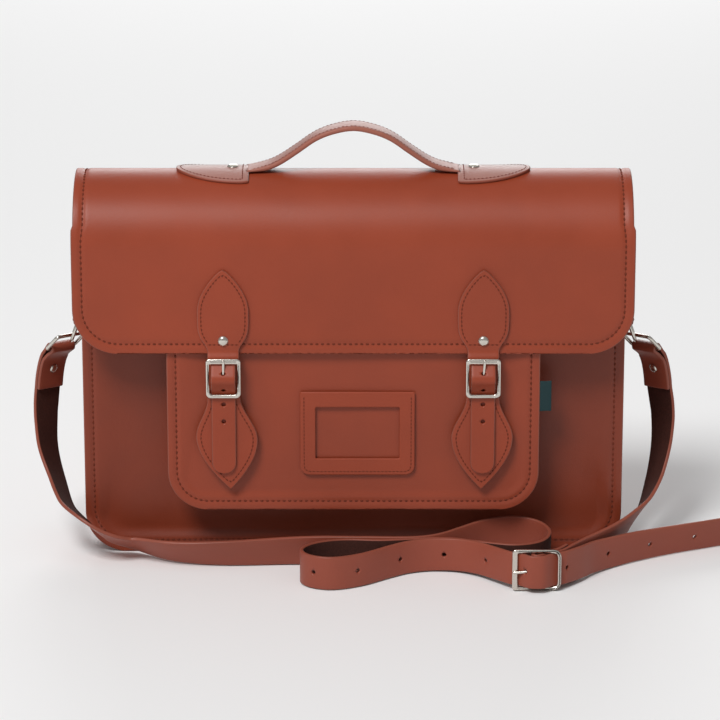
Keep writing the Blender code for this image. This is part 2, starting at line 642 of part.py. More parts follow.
def make_d_ring(side, word):
    """A D of wire: its straight bar lies in the tab and its bow hangs outwards and down."""
    down = Vector((side * math.sin(D_LEAN), 0, -math.cos(D_LEAN)))
    along = Vector((0, 1, 0))
    bar = Vector((side * D_BAR_X, SIDE_Y, D_BAR_Z))
    corner = 0.003
    outline = arc((D_HALF_W - corner, corner), corner, 0, -90, 3)
    outline += arc((corner - D_HALF_W, corner), corner, 270, 180, 3)
    for k in range(1, 16):
        turn = math.radians(180 - 180 * k / 16)
        outline.append((D_HALF_W * math.cos(turn), 0.0050 + (D_DEPTH - 0.0050) * math.sin(turn) ** 0.8))
    points = [bar + along * u + down * v for u, v in outline]
    wire("d_ring_" + word, points, RING_WIRE_R, NICKEL)


def ring_axes(side):
    """The strap ring's long direction, from inner far end to outer near end, and its downward direction."""
    wide = Vector((side * 0.661, -0.746, 0.080)).normalized()
    down = Vector((side * 0.570, 0.430, -0.698))
    down = (down - wide * down.dot(wide)).normalized()
    return wide, down


def ring_top(side):
    """Where the strap ring's top bar goes through the D ring, close above the bottom of its bow."""
    bow = D_DEPTH - RING_WIRE_R - RING_BAR_R - 0.0014
    return Vector((side * (D_BAR_X + bow * math.sin(D_LEAN)), SIDE_Y, D_BAR_Z - bow * math.cos(D_LEAN)))


RING_OUT, RING_IN, RING_H = 0.0163, 0.0128, 0.0162


def ring_bottom(side):
    """The middle of the strap ring's bottom bar, which the strap is folded round."""
    wide, down = ring_axes(side)
    return ring_top(side) + wide * (RING_OUT - RING_IN) / 2 + down * RING_H


def make_strap_ring(side, word):
    wide, down = ring_axes(side)
    half = (RING_OUT + RING_IN) / 2
    middle = ring_bottom(side) - down * RING_H / 2
    outline = rounded_loop(half, RING_H / 2, 0.0026, 4)
    wire("strap_ring_" + word, [middle + wide * u + down * v for u, v in outline], RING_BAR_R, NICKEL)


# ---- shoulder strap -----------------------------------------------------------------------------
# Each row is a point on the strap's middle, then the direction from there to the edge that ends up on top.
LONG_ROUTE = (
    (-0.2322, 0.0307, 0.1030, -0.64, -0.74, 0.12),
    (-0.2325, 0.0283, 0.0900, -0.58, -0.78, 0.14),
    (-0.2310, 0.0225, 0.0700, -0.48, -0.85, 0.20),
    (-0.2240, 0.0100, 0.0500, -0.33, -0.90, 0.26),
    (-0.2152, -0.0122, 0.0370, -0.16, -0.92, 0.32),
    (-0.2006, -0.0352, 0.0308, -0.05, -0.94, 0.36),
    (-0.1830, -0.0395, 0.0205, 0.0, -0.88, 0.47),
    (-0.1640, -0.0350, 0.0125, 0.0, -0.82, 0.57),
    (-0.1340, -0.0493, 0.0115, 0.0, -0.64, 0.77),
    (-0.0954, -0.0541, 0.0119, 0.0, -0.48, 0.88),
    (-0.0375, -0.0500, 0.0126, 0.0, -0.31, 0.95),
    (0.0100, -0.0545, 0.0129, 0.0, -0.08, 1.0),
    (0.0400, -0.0562, 0.0130, 0.0, 0.0, 1.0),
    (0.0560, -0.0540, 0.0134, 0.0, 0.0, 1.0),
    (0.0680, -0.0490, 0.0142, 0.0, 0.0, 1.0),
    (0.0800, -0.0410, 0.0155, 0.0, 0.0, 1.0),
    (0.1000, -0.0300, 0.0182, 0.0, -0.04, 1.0),
    (0.1220, -0.0268, 0.0192, 0.0, -0.06, 1.0),
    (0.1385, -0.0340, 0.0175, 0.02, -0.04, 1.0),
    (0.1450, -0.0500, 0.0152, 0.02, 0.0, 1.0),
    (0.1380, -0.0670, 0.0138, 0.0, 0.0, 1.0),
    (0.1180, -0.0735, 0.0132, 0.0, 0.0, 1.0),
    (0.0900, -0.0645, 0.0129, 0.0, 0.0, 1.0),
    (0.0740, -0.0587, 0.0129, 0.0, 0.0, 1.0),
    (0.0560, -0.0577, 0.0129, 0.0, 0.0, 1.0),
    (0.0400, -0.0602, 0.0129, 0.0, 0.0, 1.0),
    (0.0200, -0.0625, 0.0129, 0.0, 0.0, 1.0),
    (-0.0050, -0.0610, 0.0129, 0.0, 0.0, 1.0),
    (-0.0220, -0.0650, 0.0129, 0.0, 0.0, 1.0),
    (-0.0340, -0.0740, 0.0129, 0.0, 0.0, 1.0),
    (-0.0378, -0.0855, 0.0129, 0.0, 0.0, 1.0),
    (-0.0310, -0.0965, 0.0129, 0.0, 0.0, 1.0),
    (-0.0150, -0.1015, 0.0129, 0.0, 0.0, 1.0),
    (0.0060, -0.0930, 0.0129, 0.0, 0.0, 1.0),
    (0.0280, -0.0750, 0.0130, 0.0, 0.0, 1.0),
    (0.0420, -0.0655, 0.0131, 0.0, 0.0, 1.0),
    (0.0580, -0.0612, 0.0133, 0.0, 0.0, 1.0),
    (0.0760, -0.0635, 0.0139, 0.0, 0.0, 1.0),
    (0.0910, -0.0725, 0.0147, 0.0, 0.0, 1.0),
    (0.1040, -0.0870, 0.0156, 0.0, 0.0, 1.0),
)
LONG_TAIL = (
    (0.1650, -0.0850, 0.0152, 0.0, 0.0, 1.0),
    (0.1765, -0.0690, 0.0140, 0.0, -0.06, 1.0),
    (0.1900, -0.0565, 0.0133, 0.0, -0.14, 0.99),
    (0.2068, -0.0440, 0.0130, 0.0, -0.20, 0.98),
    (0.2230, -0.0343, 0.0128, 0.0, -0.26, 0.97),
    (0.2389, -0.0257, 0.0127, 0.0, -0.30, 0.95),
    (0.2580, -0.0165, 0.0126, 0.0, -0.32, 0.95),
    (0.2767, -0.0078, 0.0126, 0.0, -0.32, 0.95),
    (0.2980, 0.0010, 0.0126, 0.0, -0.32, 0.95),
)
SHORT_ROUTE = (
    (0.2330, 0.0307, 0.1030, 0.64, -0.74, 0.12),
    (0.2340, 0.0283, 0.0900, 0.58, -0.78, 0.14),
    (0.2325, 0.0225, 0.0700, 0.48, -0.85, 0.20),
    (0.2270, 0.0110, 0.0490, 0.36, -0.88, 0.28),
    (0.2190, -0.0060, 0.0350, 0.20, -0.84, 0.48),
    (0.2080, -0.0225, 0.0270, 0.10, -0.66, 0.72),
    (0.1960, -0.0385, 0.0212, 0.04, -0.42, 0.90),
    (0.1830, -0.0535, 0.0180, 0.0, -0.20, 0.98),
    (0.1700, -0.0690, 0.0168, 0.0, -0.06, 1.0),
    (0.1600, -0.0830, 0.0163, 0.0, 0.0, 1.0),
)


def rows(route):
    return [(Vector(row[:3]), Vector(row[3:]).normalized()) for row in route]


# The strap's folded end: points on the line between its two layers, from the ring's bar down, on the right.
FOLD_LINE = (
    (0.2244, 0.0292, 0.1417),
    (0.2271, 0.0312, 0.1345),
    (0.2291, 0.0320, 0.1245),
    (0.2302, 0.0318, 0.1142),
)


def fold_rows(side):
    """The strap's end, folded round the strap ring: up its short inner layer, round the bar, down its outer one.

    Returns the rows, and the place and outward direction of the rivet through both layers.
    """
    wide, down = ring_axes(side)
    bar = ring_bottom(side)
    line = [bar] + [Vector((side * x, y, z)) for x, y, z in FOLD_LINE]
    lift = STRAP_T / 2 + GAP / 2
    inner, outer = [], []
    for i in range(1, len(line)):
        tangent = (line[min(i + 1, len(line) - 1)] - line[i - 1]).normalized()
        through = (tangent.cross(wide) * side).normalized()
        gap = lift + (0.0004 if i == 1 else 0)
        edge = wide * (0.92 if i == 1 else 1.0)
        inner.append((line[i] + through * gap, edge))
        outer.append((line[i] - through * gap, edge))
        if i == 2:
            rivet = (line[i].lerp(line[i + 1], 0.4), through)
    start = (wide.cross(down) * -side).normalized()
    turn_r = RING_BAR_R + GAP + STRAP_T / 2
    bend = []
    for k in range(9):
        turn = math.radians(180 * k / 8)
        bend.append((bar + start * (turn_r * math.cos(turn)) - down * (turn_r * math.sin(turn)), wide * 0.92))
    return inner[::-1] + bend + outer, rivet


def buckle_rows():
    """The long strap's way through the shoulder buckle: behind both end bars and over the centre bar."""
    behind = SHOULDER_BAR_R + 1.5 * GAP + STRAP_T / 2
    over = SHOULDER_CENTRE_R + 3 * GAP + STRAP_T * 1.5
    up = Vector((0, 0, 0.96))
    out = []
    for dx, dy in ((-0.0185, behind + 0.0008), (-0.0150, behind), (-0.0100, -0.0006), (-0.0052, -over + 0.0007),
                   (0.0, -over), (0.0052, -over + 0.0007), (0.0100, -0.0006), (0.0150, behind),
                   (0.0200, behind + 0.0016)):
        out.append((SHOULDER_BUCKLE + Vector((dx, dy, 0)), up))
    return out


def make_shoulder_strap():
    fold, left_rivet = fold_rows(-1)
    long_strap = ribbon("strap_long", fold + rows(LONG_ROUTE) + buckle_rows() + rows(LONG_TAIL), STRAP_LEATHER)
    fold, right_rivet = fold_rows(1)
    short_strap = ribbon("strap_short", fold + rows(SHORT_ROUTE) + short_buckle_rows(), STRAP_LEATHER)
    folds = (("left", long_strap, left_rivet), ("right", short_strap, right_rivet))
    for word, strap, (middle, through) in folds:
        spot = middle + through * (STRAP_T + GAP / 2 + 0.0002)
        drill(strap, spot, through, 0.0019, 0.016)
        dome_rivet("strap_rivet_" + word, spot, through, 0.0034, 0.0014, 0.0015, 0.0046)


def short_buckle_rows():
    """The short strap's end, folded round the shoulder buckle's centre bar from the right."""
    r = SHOULDER_CENTRE_R + GAP + STRAP_T / 2
    behind = SHOULDER_BAR_R + 2 * GAP + STRAP_T * 1.5
    back = behind + STRAP_T + GAP
    up = Vector((0, 0, 0.96))
    out = []
    lead_in = ((0.0195, behind + 0.0038), (0.0140, behind + 0.0006), (0.0090, behind * 0.52), (0.0050, 0.0))
    for dx, dy in lead_in:
        out.append((SHOULDER_BUCKLE + Vector((dx, dy, 0)), up))
    for k in range(9):
        turn = math.radians(-45 - 240 * k / 8)
        out.append((SHOULDER_BUCKLE + Vector((r * math.cos(turn), r * math.sin(turn), 0)), up))
    for dx, dy in ((0.0050, r + 0.0016), (0.0100, back), (0.0148, back + 0.0022), (0.0192, back + 0.0072),
                   (0.0230, back + 0.0135)):
        out.append((SHOULDER_BUCKLE + Vector((dx, dy, 0)), up))
    return out


def ribbon(name, route, look):
    """A flat strap through rows of (point, up), with stations closer together where it bends tightly.

    Up points along the strap's width, and its length is the share of the full width that the strap has there.
    """
    points = [point for point, up in route]
    ups = [up for point, up in route]
    ends = [points[0] * 2 - points[1], *points, points[-1] * 2 - points[-2]]
    stations_at, up_at = [], []
    for i in range(1, len(ends) - 2):
        p0, p1, p2, p3 = ends[i - 1 : i + 3]
        steps = 1 if (p2 - p1).length < 0.004 else max(2, round((p2 - p1).length / 0.007))
        for k in range(steps):
            t = k / steps
            stations_at.append(
                0.5 * (2 * p1 + (p2 - p0) * t + (2 * p0 - 5 * p1 + 4 * p2 - p3) * t * t
                       + (3 * p1 - 3 * p2 + p3 - p0) * t * t * t)
            )
            up_at.append(ups[i - 1].lerp(ups[i], t))
    stations_at.append(points[-1])
    up_at.append(ups[-1])
    stations = []
    for point, tangent, up in zip(stations_at, path_frames(stations_at), up_at):
        flat = (up - tangent * up.dot(tangent)).normalized()
        stations.append((point, flat * up.length * STRAP_W / 2, tangent.cross(flat) * STRAP_T / 2))
    return strip(name, stations, look)


def block(name, low, high):
    outline = [(low.x, low.z), (high.x, low.z), (high.x, high.z), (low.x, high.z)]
    return prism(name, outline, "Y", low.y, high.y, LEATHER)


def make_shoulder_buckle():
    u, v = Vector((0, 0, 1)), Vector((-1, 0, 0))
    front = SHOULDER_BAR_R * 0.84 + PRONG_R + 0.0002
    make_prong("shoulder_prong", SHOULDER_BUCKLE, v, Vector((0, -1, 0)), SHOULDER_HALF_L - 0.0002,
               SHOULDER_CENTRE_R, front)
    room = block("fold_slot", SHOULDER_BUCKLE - Vector((0.0085, 0.009, 0.0022)),
                 SHOULDER_BUCKLE + Vector((0.0050, 0.0048, 0.0022)))
    cut(bpy.data.objects["strap_short"], room)
    room = block("long_slot", SHOULDER_BUCKLE - Vector((0.0115, 0.014, 0.0015)),
                 SHOULDER_BUCKLE + Vector((-0.0005, 0.004, 0.0015)))
    cut(bpy.data.objects["strap_long"], room)
    frame_with_bar("shoulder_buckle", SHOULDER_BUCKLE, u, v, SHOULDER_HALF_H, SHOULDER_HALF_L,
                   SHOULDER_BAR_R * 2, 0.0050, SHOULDER_CENTRE_R)


make_panels()
make_gussets()
make_pocket()
make_flap()
make_handle()
make_closures()
make_side_hardware()
make_shoulder_strap()
make_shoulder_buckle()
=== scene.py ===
import json
import math

import bmesh
import bpy
from mathutils import Matrix, Vector, noise


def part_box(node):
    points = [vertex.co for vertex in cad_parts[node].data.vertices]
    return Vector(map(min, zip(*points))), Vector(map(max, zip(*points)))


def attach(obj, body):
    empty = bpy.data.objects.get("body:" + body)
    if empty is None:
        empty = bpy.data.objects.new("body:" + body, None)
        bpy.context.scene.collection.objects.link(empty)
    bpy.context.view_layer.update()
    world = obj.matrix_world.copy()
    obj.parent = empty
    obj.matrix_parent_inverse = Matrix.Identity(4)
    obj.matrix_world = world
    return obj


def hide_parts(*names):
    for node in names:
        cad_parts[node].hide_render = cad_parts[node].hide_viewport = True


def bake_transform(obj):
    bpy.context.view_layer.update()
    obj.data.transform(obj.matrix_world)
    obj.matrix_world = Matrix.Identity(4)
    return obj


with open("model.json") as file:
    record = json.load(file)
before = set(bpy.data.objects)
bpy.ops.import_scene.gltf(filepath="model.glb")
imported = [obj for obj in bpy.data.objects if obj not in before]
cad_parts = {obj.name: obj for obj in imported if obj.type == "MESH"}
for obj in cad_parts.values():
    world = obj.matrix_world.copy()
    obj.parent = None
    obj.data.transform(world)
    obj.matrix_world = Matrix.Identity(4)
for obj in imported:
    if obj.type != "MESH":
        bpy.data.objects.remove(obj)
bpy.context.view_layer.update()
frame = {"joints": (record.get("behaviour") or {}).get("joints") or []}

X, Y, Z = Vector((1, 0, 0)), Vector((0, 1, 0)), Vector((0, 0, 1))
SIDES = ((-1, "left"), (1, "right"))

# ---- places taken from the frame
def corners(node):
    low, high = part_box(node)
    return Vector(low), Vector(high)


FLAP_LOW, FLAP_HIGH = corners("flap")
BACK_LOW, BACK_HIGH = corners("back_panel")
FRONT_LOW, FRONT_HIGH = corners("front_panel")
GUSSET_LOW, GUSSET_HIGH = corners("gusset")
POCKET_LOW, POCKET_HIGH = corners("pocket_front")
POCKET_WALL_LOW, POCKET_WALL_HIGH = corners("pocket_gusset")
CARD_LOW, CARD_HIGH = corners("card_holder")
LABEL_LOW, LABEL_HIGH = corners("label_tab")
GRIP_BASE_Z = corners("handle_grip")[1].z
PAD_LOW, PAD_HIGH = corners("handle_pad_right")
LEAF_LOW, LEAF_HIGH = corners("upper_leaf_right")
LOWER_LOW, LOWER_HIGH = corners("lower_leaf_right")
TAIL_LOW = corners("closure_strap_right")[0]
BUCKLE_LOW, BUCKLE_HIGH = corners("closure_buckle_right")
SHOULDER_LOW, SHOULDER_HIGH = corners("shoulder_buckle")
JOINT = {joint["name"]: joint for joint in frame["joints"]}

SKIN = 0.0026  # leather of the panels and the flap
THIN = 0.0022  # leather of the leaves, pads and tabs
ARCH_R = (FLAP_HIGH.y - FLAP_LOW.y) / 2
ARCH_Y = (FLAP_HIGH.y + FLAP_LOW.y) / 2
ARCH_Z = FLAP_HIGH.z - ARCH_R
FLAP_CORNER, PANEL_CORNER, POCKET_CORNER = 0.033, 0.031, 0.029
FLAP_SEAM, PANEL_SEAM, POCKET_SEAM = 0.0072, 0.0070, 0.0066
DISH, POCKET_DISH = 0.0033, 0.0018  # how far the faces lie back from their seams
# the length of a stitch, the thread's width, and the distance from one stitch to the next
SEAM_THREAD = (0.0026, 0.0013, 0.0041)
LEAF_THREAD = (0.0019, 0.0009, 0.0031)
PAD_THREAD = (0.0018, 0.0008, 0.0030)
GRIP_THREAD = (0.0017, 0.0007, 0.0029)
CARD_THREAD = (0.0017, 0.0007, 0.0028)
CLOSURE_X = (LEAF_LOW.x + LEAF_HIGH.x) / 2
FOLD_Z = JOINT["closure_fold_right"]["pos_m"][2]
BAR_Y, BAR_Z = JOINT["closure_prong_right"]["pos_m"][1:]
SHOULDER_AT = Vector(JOINT["shoulder_prong_hinge"]["pos_m"])
SIDE_Y = JOINT["d_ring_swing_right"]["pos_m"][1]
STRAP_W, STRAP_T = 0.025, 0.0026
GAP = 0.0003  # between neighbours
RING_R, HOLE_R = 0.0014, 0.0017
FLANGE = 0.0065  # the gusset's seam edge


# ---- camera, floor and light
def make_stage():
    camera = bpy.data.objects.new("camera", bpy.data.cameras.new("camera"))
    camera.data.lens = 177.8
    camera.data.sensor_width = 36
    camera.location = (0.0049, -2.5400, 0.8876)
    camera.rotation_euler = (math.radians(73.7), 0, 0)
    camera.data.clip_end = 60
    bpy.context.scene.collection.objects.link(camera)
    bpy.context.scene.camera = camera

    bm = bmesh.new()
    bmesh.ops.create_grid(bm, x_segments=4, y_segments=4, size=12)
    paper = new_look("floor_paper", {"Base Color": (0.88, 0.88, 0.88, 1), "Roughness": 0.8})[0]
    floor = as_object("floor", bm, [paper])
    floor.location.z = -0.0002

    world = bpy.data.worlds.new("studio")
    world.use_nodes = True
    background = world.node_tree.nodes["Background"]
    background.inputs["Color"].default_value = (1, 1, 1, 1)
    background.inputs["Strength"].default_value = 0.34
    bpy.context.scene.world = world
    bpy.context.scene.view_settings.view_transform = "Standard"
    lamp("key", (-1.7, -3.1, 4.4), (0, 0, 0.15), size=1.8, watts=225)
    lamp("rim", (0.2, 4.6, 1.9), (0, 0, 0.25), size=2.4, watts=74)


def lamp(name, place, target, size, watts):
    light = bpy.data.lights.new(name, "AREA")
    light.size = size
    light.energy = watts
    obj = bpy.data.objects.new(name, light)
    obj.location = place
    obj.rotation_euler = (Vector(target) - Vector(place)).to_track_quat("-Z", "Y").to_euler()
    bpy.context.scene.collection.objects.link(obj)


# ---- materials
def new_look(name, values):
    """A material whose shader has these values on its own sockets, with its node tree and its shader."""
    look = bpy.data.materials.new(name)
    look.use_nodes = True
    shader = look.node_tree.nodes["Principled BSDF"]
    for key, value in values.items():
        shader.inputs[key].default_value = value
    return look, look.node_tree, shader


def add_node(tree, kind, values, links=()):
    """A node with these values, and with these outputs linked to its inputs."""
    made = tree.nodes.new(kind)
    for key, value in values.items():
        made.inputs[key].default_value = value
    for key, source in links:
        tree.links.new(source, made.inputs[key])
    return made


def texture(tree, kind, scale, **values):
    """A texture node read in object coordinates."""
    place = add_node(tree, "ShaderNodeTexCoord", {})
    return add_node(tree, kind, {"Scale": scale, **values}, [("Vector", place.outputs["Object"])])


def ramp(tree, source, stops):
    """Colours between (place, colour) stops, read from a texture's first value."""
    made = add_node(tree, "ShaderNodeValToRGB", {}, [("Fac", source)])
    while len(made.color_ramp.elements) < len(stops):
        made.color_ramp.elements.new(0.5)
    for element, (place, colour) in zip(made.color_ramp.elements, stops):
        element.position = place
        element.color = (*colour, 1)
    return made.outputs["Color"]


def span(tree, source, low, high):
    """A texture's value stretched to run from low to high."""
    values = {"From Min": 0.3, "From Max": 0.7, "To Min": low, "To Max": high}
    return add_node(tree, "ShaderNodeMapRange", values, [("Value", source)]).outputs["Result"]


def bump(tree, source, strength, distance, after=None):
    values = {"Strength": strength, "Distance": distance}
    links = [("Height", source)]
    if after is not None:
        links.append(("Normal", after))
    return add_node(tree, "ShaderNodeBump", values, links).outputs["Normal"]


def finish_look(look, tree, shader, colour, normal):
    tree.links.new(colour, shader.inputs["Base Color"])
    tree.links.new(normal, shader.inputs["Normal"])
    return look


def tint(colour, share):
    return tuple(min(channel * share, 1) for channel in colour)


def leather_look(name, colour, roughness, grain=1.0, cloud=0.08, sheen=0.06, gloss=0.36):
    """Corrected-grain leather: cloudy dye, fine pores and a satin finish."""
    values = {"Specular IOR Level": gloss, "Sheen Weight": sheen, "Sheen Roughness": 0.35}
    look, tree, shader = new_look(name, values)
    clouds = texture(tree, "ShaderNodeTexNoise", 14, Detail=4, Roughness=0.55).outputs["Fac"]
    pores = texture(tree, "ShaderNodeTexVoronoi", 1250).outputs["Distance"]
    creases = texture(tree, "ShaderNodeTexNoise", 260, Detail=5, Roughness=0.6).outputs["Fac"]
    shade = ramp(tree, clouds, [(0.3, tint(colour, 1 - cloud)), (0.5, colour), (0.7, tint(colour, 1 + cloud))])
    mix = add_node(tree, "ShaderNodeMix", {})
    mix.data_type = "RGBA"
    mix.blend_type = "MULTIPLY"
    mix.inputs["Factor"].default_value = 0.45
    tree.links.new(shade, mix.inputs["A"])
    tree.links.new(ramp(tree, pores, [(0.0, (0.80, 0.80, 0.80)), (0.35, (1, 1, 1))]), mix.inputs["B"])
    tree.links.new(span(tree, clouds, roughness - 0.04, roughness + 0.05), shader.inputs["Roughness"])
    normal = bump(tree, creases, 0.10 * grain, 0.0006)
    normal = bump(tree, pores, 0.16 * grain, 0.00025, normal)
    return finish_look(look, tree, shader, mix.outputs["Result"], normal)


def suede_look(name, colour):
    """The flesh side: matt, with a short nap."""
    look, tree, shader = new_look(name, {"Roughness": 0.88, "Specular IOR Level": 0.2})
    nap = texture(tree, "ShaderNodeTexNoise", 700, Detail=6, Roughness=0.7).outputs["Fac"]
    shade = ramp(tree, nap, [(0.3, tint(colour, 0.7)), (0.7, tint(colour, 1.25))])
    return finish_look(look, tree, shader, shade, bump(tree, nap, 0.35, 0.0005))


def thread_look(name, colour):
    look, tree, shader = new_look(name, {"Roughness": 0.75, "Specular IOR Level": 0.18})
    twist = texture(tree, "ShaderNodeTexNoise", 3000, Detail=2).outputs["Fac"]
    shade = ramp(tree, twist, [(0.35, tint(colour, 0.7)), (0.65, tint(colour, 1.3))])
    tree.links.new(shade, shader.inputs["Base Color"])
    return look


def metal_look(name, colour, roughness):
    """Nickel plate with fine polishing haze."""
    look, tree, shader = new_look(name, {"Metallic": 1.0})
    haze = texture(tree, "ShaderNodeTexNoise", 420, Detail=5, Roughness=0.7).outputs["Fac"]
    shade = ramp(tree, haze, [(0.3, tint(colour, 0.97)), (0.7, tint(colour, 1.02))])
    tree.links.new(span(tree, haze, roughness - 0.02, roughness + 0.03), shader.inputs["Roughness"])
    return finish_look(look, tree, shader, shade, bump(tree, haze, 0.01, 0.0001))


def weave_look(name, colour):
    """A close woven ribbon."""
    look, tree, shader = new_look(name, {"Roughness": 0.85})
    both = add_node(tree, "ShaderNodeMath", {})
    both.operation = "MULTIPLY"
    for k, direction in enumerate("XZ"):
        wave = texture(tree, "ShaderNodeTexWave", 420)
        wave.bands_direction = direction
        tree.links.new(wave.outputs["Fac"], both.inputs[k])
    weave = both.outputs["Value"]
    shade = ramp(tree, weave, [(0.0, tint(colour, 0.45)), (0.6, tint(colour, 1.4))])
    return finish_look(look, tree, shader, shade, bump(tree, weave, 0.5, 0.0002))


CHESTNUT = (0.283, 0.0465, 0.0180)
GRAIN = leather_look("chestnut_grain", CHESTNUT, 0.43, sheen=0.0, gloss=0.32)
# The panels' leather is the chestnut tinted darker: painted shade, for the shade the flap casts on the front
# panel. The gusset walls use it too.
SHADED_PANEL_GRAIN = leather_look("panel_grain_painted_shade", tint(CHESTNUT, 0.72), 0.38, sheen=0.0)
POCKET_GRAIN = leather_look("pocket_grain", tint(CHESTNUT, 0.94), 0.42)
STRAP_GRAIN = leather_look("strap_grain", (0.276, 0.060, 0.033), 0.46, 0.8, 0.05)
# The grip's leather is paler than the chestnut; part of that paleness is painted sheen, for the pale glancing
# reflection on the handle.
PALE_SHEEN_GRAIN = leather_look("handle_grain_painted_sheen", (0.310, 0.100, 0.066), 0.46, 0.9, 0.06, sheen=0.42)
# The pads' colour is paler still, raised in green and blue: painted sheen for their pale reflection, on top of
# the shader's own sheen.
PAD_SHEEN_GRAIN = leather_look("pad_grain_painted_sheen", (0.345, 0.150, 0.120), 0.44, 1.2, 0.06, sheen=1.0)
EDGE = leather_look("painted_edge", (0.250, 0.062, 0.036), 0.40, 0.4, 0.12)
FLESH = suede_look("flesh_side", (0.055, 0.017, 0.012))
INSIDE = suede_look("inside_suede", (0.145, 0.062, 0.041))
THREAD = thread_look("waxed_thread", (0.150, 0.029, 0.014))
# A dark leather lens under each row of stitches: painted shade for the stitch crease.
CREASE_SHADE = leather_look("crease_shade_line", (0.180, 0.031, 0.013), 0.6, 0.5, sheen=0.0, gloss=0.2)
# Near-black walls for the punched holes: the raw cut edge's own dark colour, deepened further as painted shade
# inside the holes.
PUNCHED_SHADE = suede_look("punched_hole_painted_shade", (0.020, 0.007, 0.005))
NICKEL = metal_look("nickel_plate", (0.66, 0.62, 0.56), 0.24)
DARK_NICKEL = metal_look("dark_nickel", (0.30, 0.29, 0.28), 0.34)
TEAL = weave_look("teal_weave", (0.007, 0.036, 0.040))
LEATHER = (GRAIN, EDGE, FLESH)
COVER = (GRAIN, EDGE, INSIDE)
PANEL = (SHADED_PANEL_GRAIN, EDGE, INSIDE)
POCKET = (POCKET_GRAIN, EDGE, INSIDE)
STRAP = (STRAP_GRAIN, EDGE, FLESH)


# ---- mesh tools
def as_object(name, bm, looks, smooth=True):
    bmesh.ops.recalc_face_normals(bm, faces=bm.faces)
    mesh = bpy.data.meshes.new(name)
    bm.to_mesh(mesh)
    bm.free()
    for look in looks:
        mesh.materials.append(look)
    obj = bpy.data.objects.new(name, mesh)
    bpy.context.scene.collection.objects.link(obj)
    if smooth:
        mesh.shade_smooth()
    return obj


def settle(obj):
    """Applies every modifier of a piece and removes its cutters."""
    graph = bpy.context.evaluated_depsgraph_get()
    cutters = [m.object for m in obj.modifiers if m.type == "BOOLEAN"]
    mesh = bpy.data.meshes.new_from_object(obj.evaluated_get(graph))
    obj.modifiers.clear()
    obj.data = mesh
    for cutter in cutters:
        bpy.data.objects.remove(cutter, do_unlink=True)


def put(obj, body, slot, *nodes):
    """Sends a finished piece to its body and hides the CAD nodes that it stands for. slot is not used."""
    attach(obj, body)
    if nodes:
        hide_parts(*nodes)
    return obj


def arc(centre, radius, start, end, steps):
    """Points round an arc, which runs between two angles in degrees."""
    turns = [math.radians(start + (end - start) * k / steps) for k in range(steps + 1)]
    return [(centre[0] + radius * math.cos(turn), centre[1] + radius * math.sin(turn)) for turn in turns]


def catmull(p0, p1, p2, p3, t):
    return 0.5 * (2 * p1 + (p2 - p0) * t + (2 * p0 - 5 * p1 + 4 * p2 - p3) * t * t
                  + (3 * p1 - 3 * p2 + p3 - p0) * t * t * t)


def curve_through(points, step):
    """Points about a step apart along a smooth curve, and for each its route point and the share past it."""
    ends = [points[0] * 2 - points[1], *points, points[-1] * 2 - points[-2]]
    out, where = [], []
    for i in range(1, len(ends) - 2):
        count = max(2, math.ceil((ends[i + 1] - ends[i]).length / step))
        for k in range(count):
            out.append(catmull(*ends[i - 1 : i + 3], k / count))
            where.append((i - 1, k / count))
    out.append(points[-1].copy())
    where.append((len(points) - 2, 1.0))
    return out, where


def directions(points):
    """The direction of travel at each point of a line."""
    last = len(points) - 1
    return [(points[min(i + 1, last)] - points[max(i - 1, 0)]).normalized() for i in range(last + 1)]


def skin(bm, rings, kinds=None):
    """Quads between rings of equal size. kinds gives the material of each step round a ring."""
    for a, b in zip(rings, rings[1:]):
        for k in range(len(a)):
            after = (k + 1) % len(a)
            face = bm.faces.new((a[k], a[after], b[after], b[k]))
            if kinds:
                face.material_index = kinds[k]


def ease(value):
    value = min(max(value, 0), 1)
    return value * value * (3 - 2 * value)


RIM_TURNS = [math.radians(a) for a in (25, 55, 90)]
SEAM_BAND = 0.018


def spread(cuts, flat, edge_cuts):
    """Places across a sheet. The outer edge_cuts on each side lie close together, to hold a seam's shape."""
    band = min(SEAM_BAND, flat / 2) if edge_cuts else 0
    places = [-flat + band * k / edge_cuts for k in range(edge_cuts)]
    middle = cuts - 2 * edge_cuts
    places += [(flat - band) * (2 * k / middle - 1) for k in range(middle)]
    return places + [flat - band * (1 - k / max(edge_cuts, 1)) for k in range(edge_cuts + 1)]


def sheet(name, rows, cuts, looks, rim=0.0007, curl=None, crown=0.0, push=None, edge_cuts=0):
    """A bent piece of leather with round edges.

    Each row is (middle, across, outward, half width, thickness). curl bends rows round a radius behind them,
    crown raises their middle, and push gives each point a last offset. looks are for the outside, the edges
    and the inside.
    """
    rows = chamfered(rows, rim)
    bm = bmesh.new()
    loops = []
    for middle, across, outward, half, thick in rows:
        edge = min(rim, half * 0.6, thick * 0.48)
        flat = half - edge
        across_it = spread(cuts, flat, edge_cuts)
        section = [(u, thick / 2) for u in across_it]
        turned = [(flat + edge * math.sin(t), thick / 2 - edge * (1 - math.cos(t))) for t in RIM_TURNS]
        under = [(u, -w) for u, w in reversed(turned)]
        section += turned + under + [(u, -thick / 2) for u in reversed(across_it)]
        section += [(-u, w) for u, w in reversed(under)] + [(-u, w) for u, w in reversed(turned)]
        loop = []
        for u, w in section:
            lift = crown * (1 - (u / half) ** 2) if w > 0 else 0
            if curl:
                turn, far = u / curl, curl + w
                u, w = far * math.sin(turn), far * math.cos(turn) - curl
            place = middle + across * u + outward * (w + lift)
            if push:
                place = place + push(place)
            loop.append(bm.verts.new(place))
        loops.append(loop)
    skin(bm, loops, [0] * cuts + [1] * 7 + [2] * cuts + [1] * 7)
    for loop, order in ((loops[0], 1), (loops[-1], -1)):
        cap(bm, loop, cuts, order)
    return as_object(name, bm, looks)


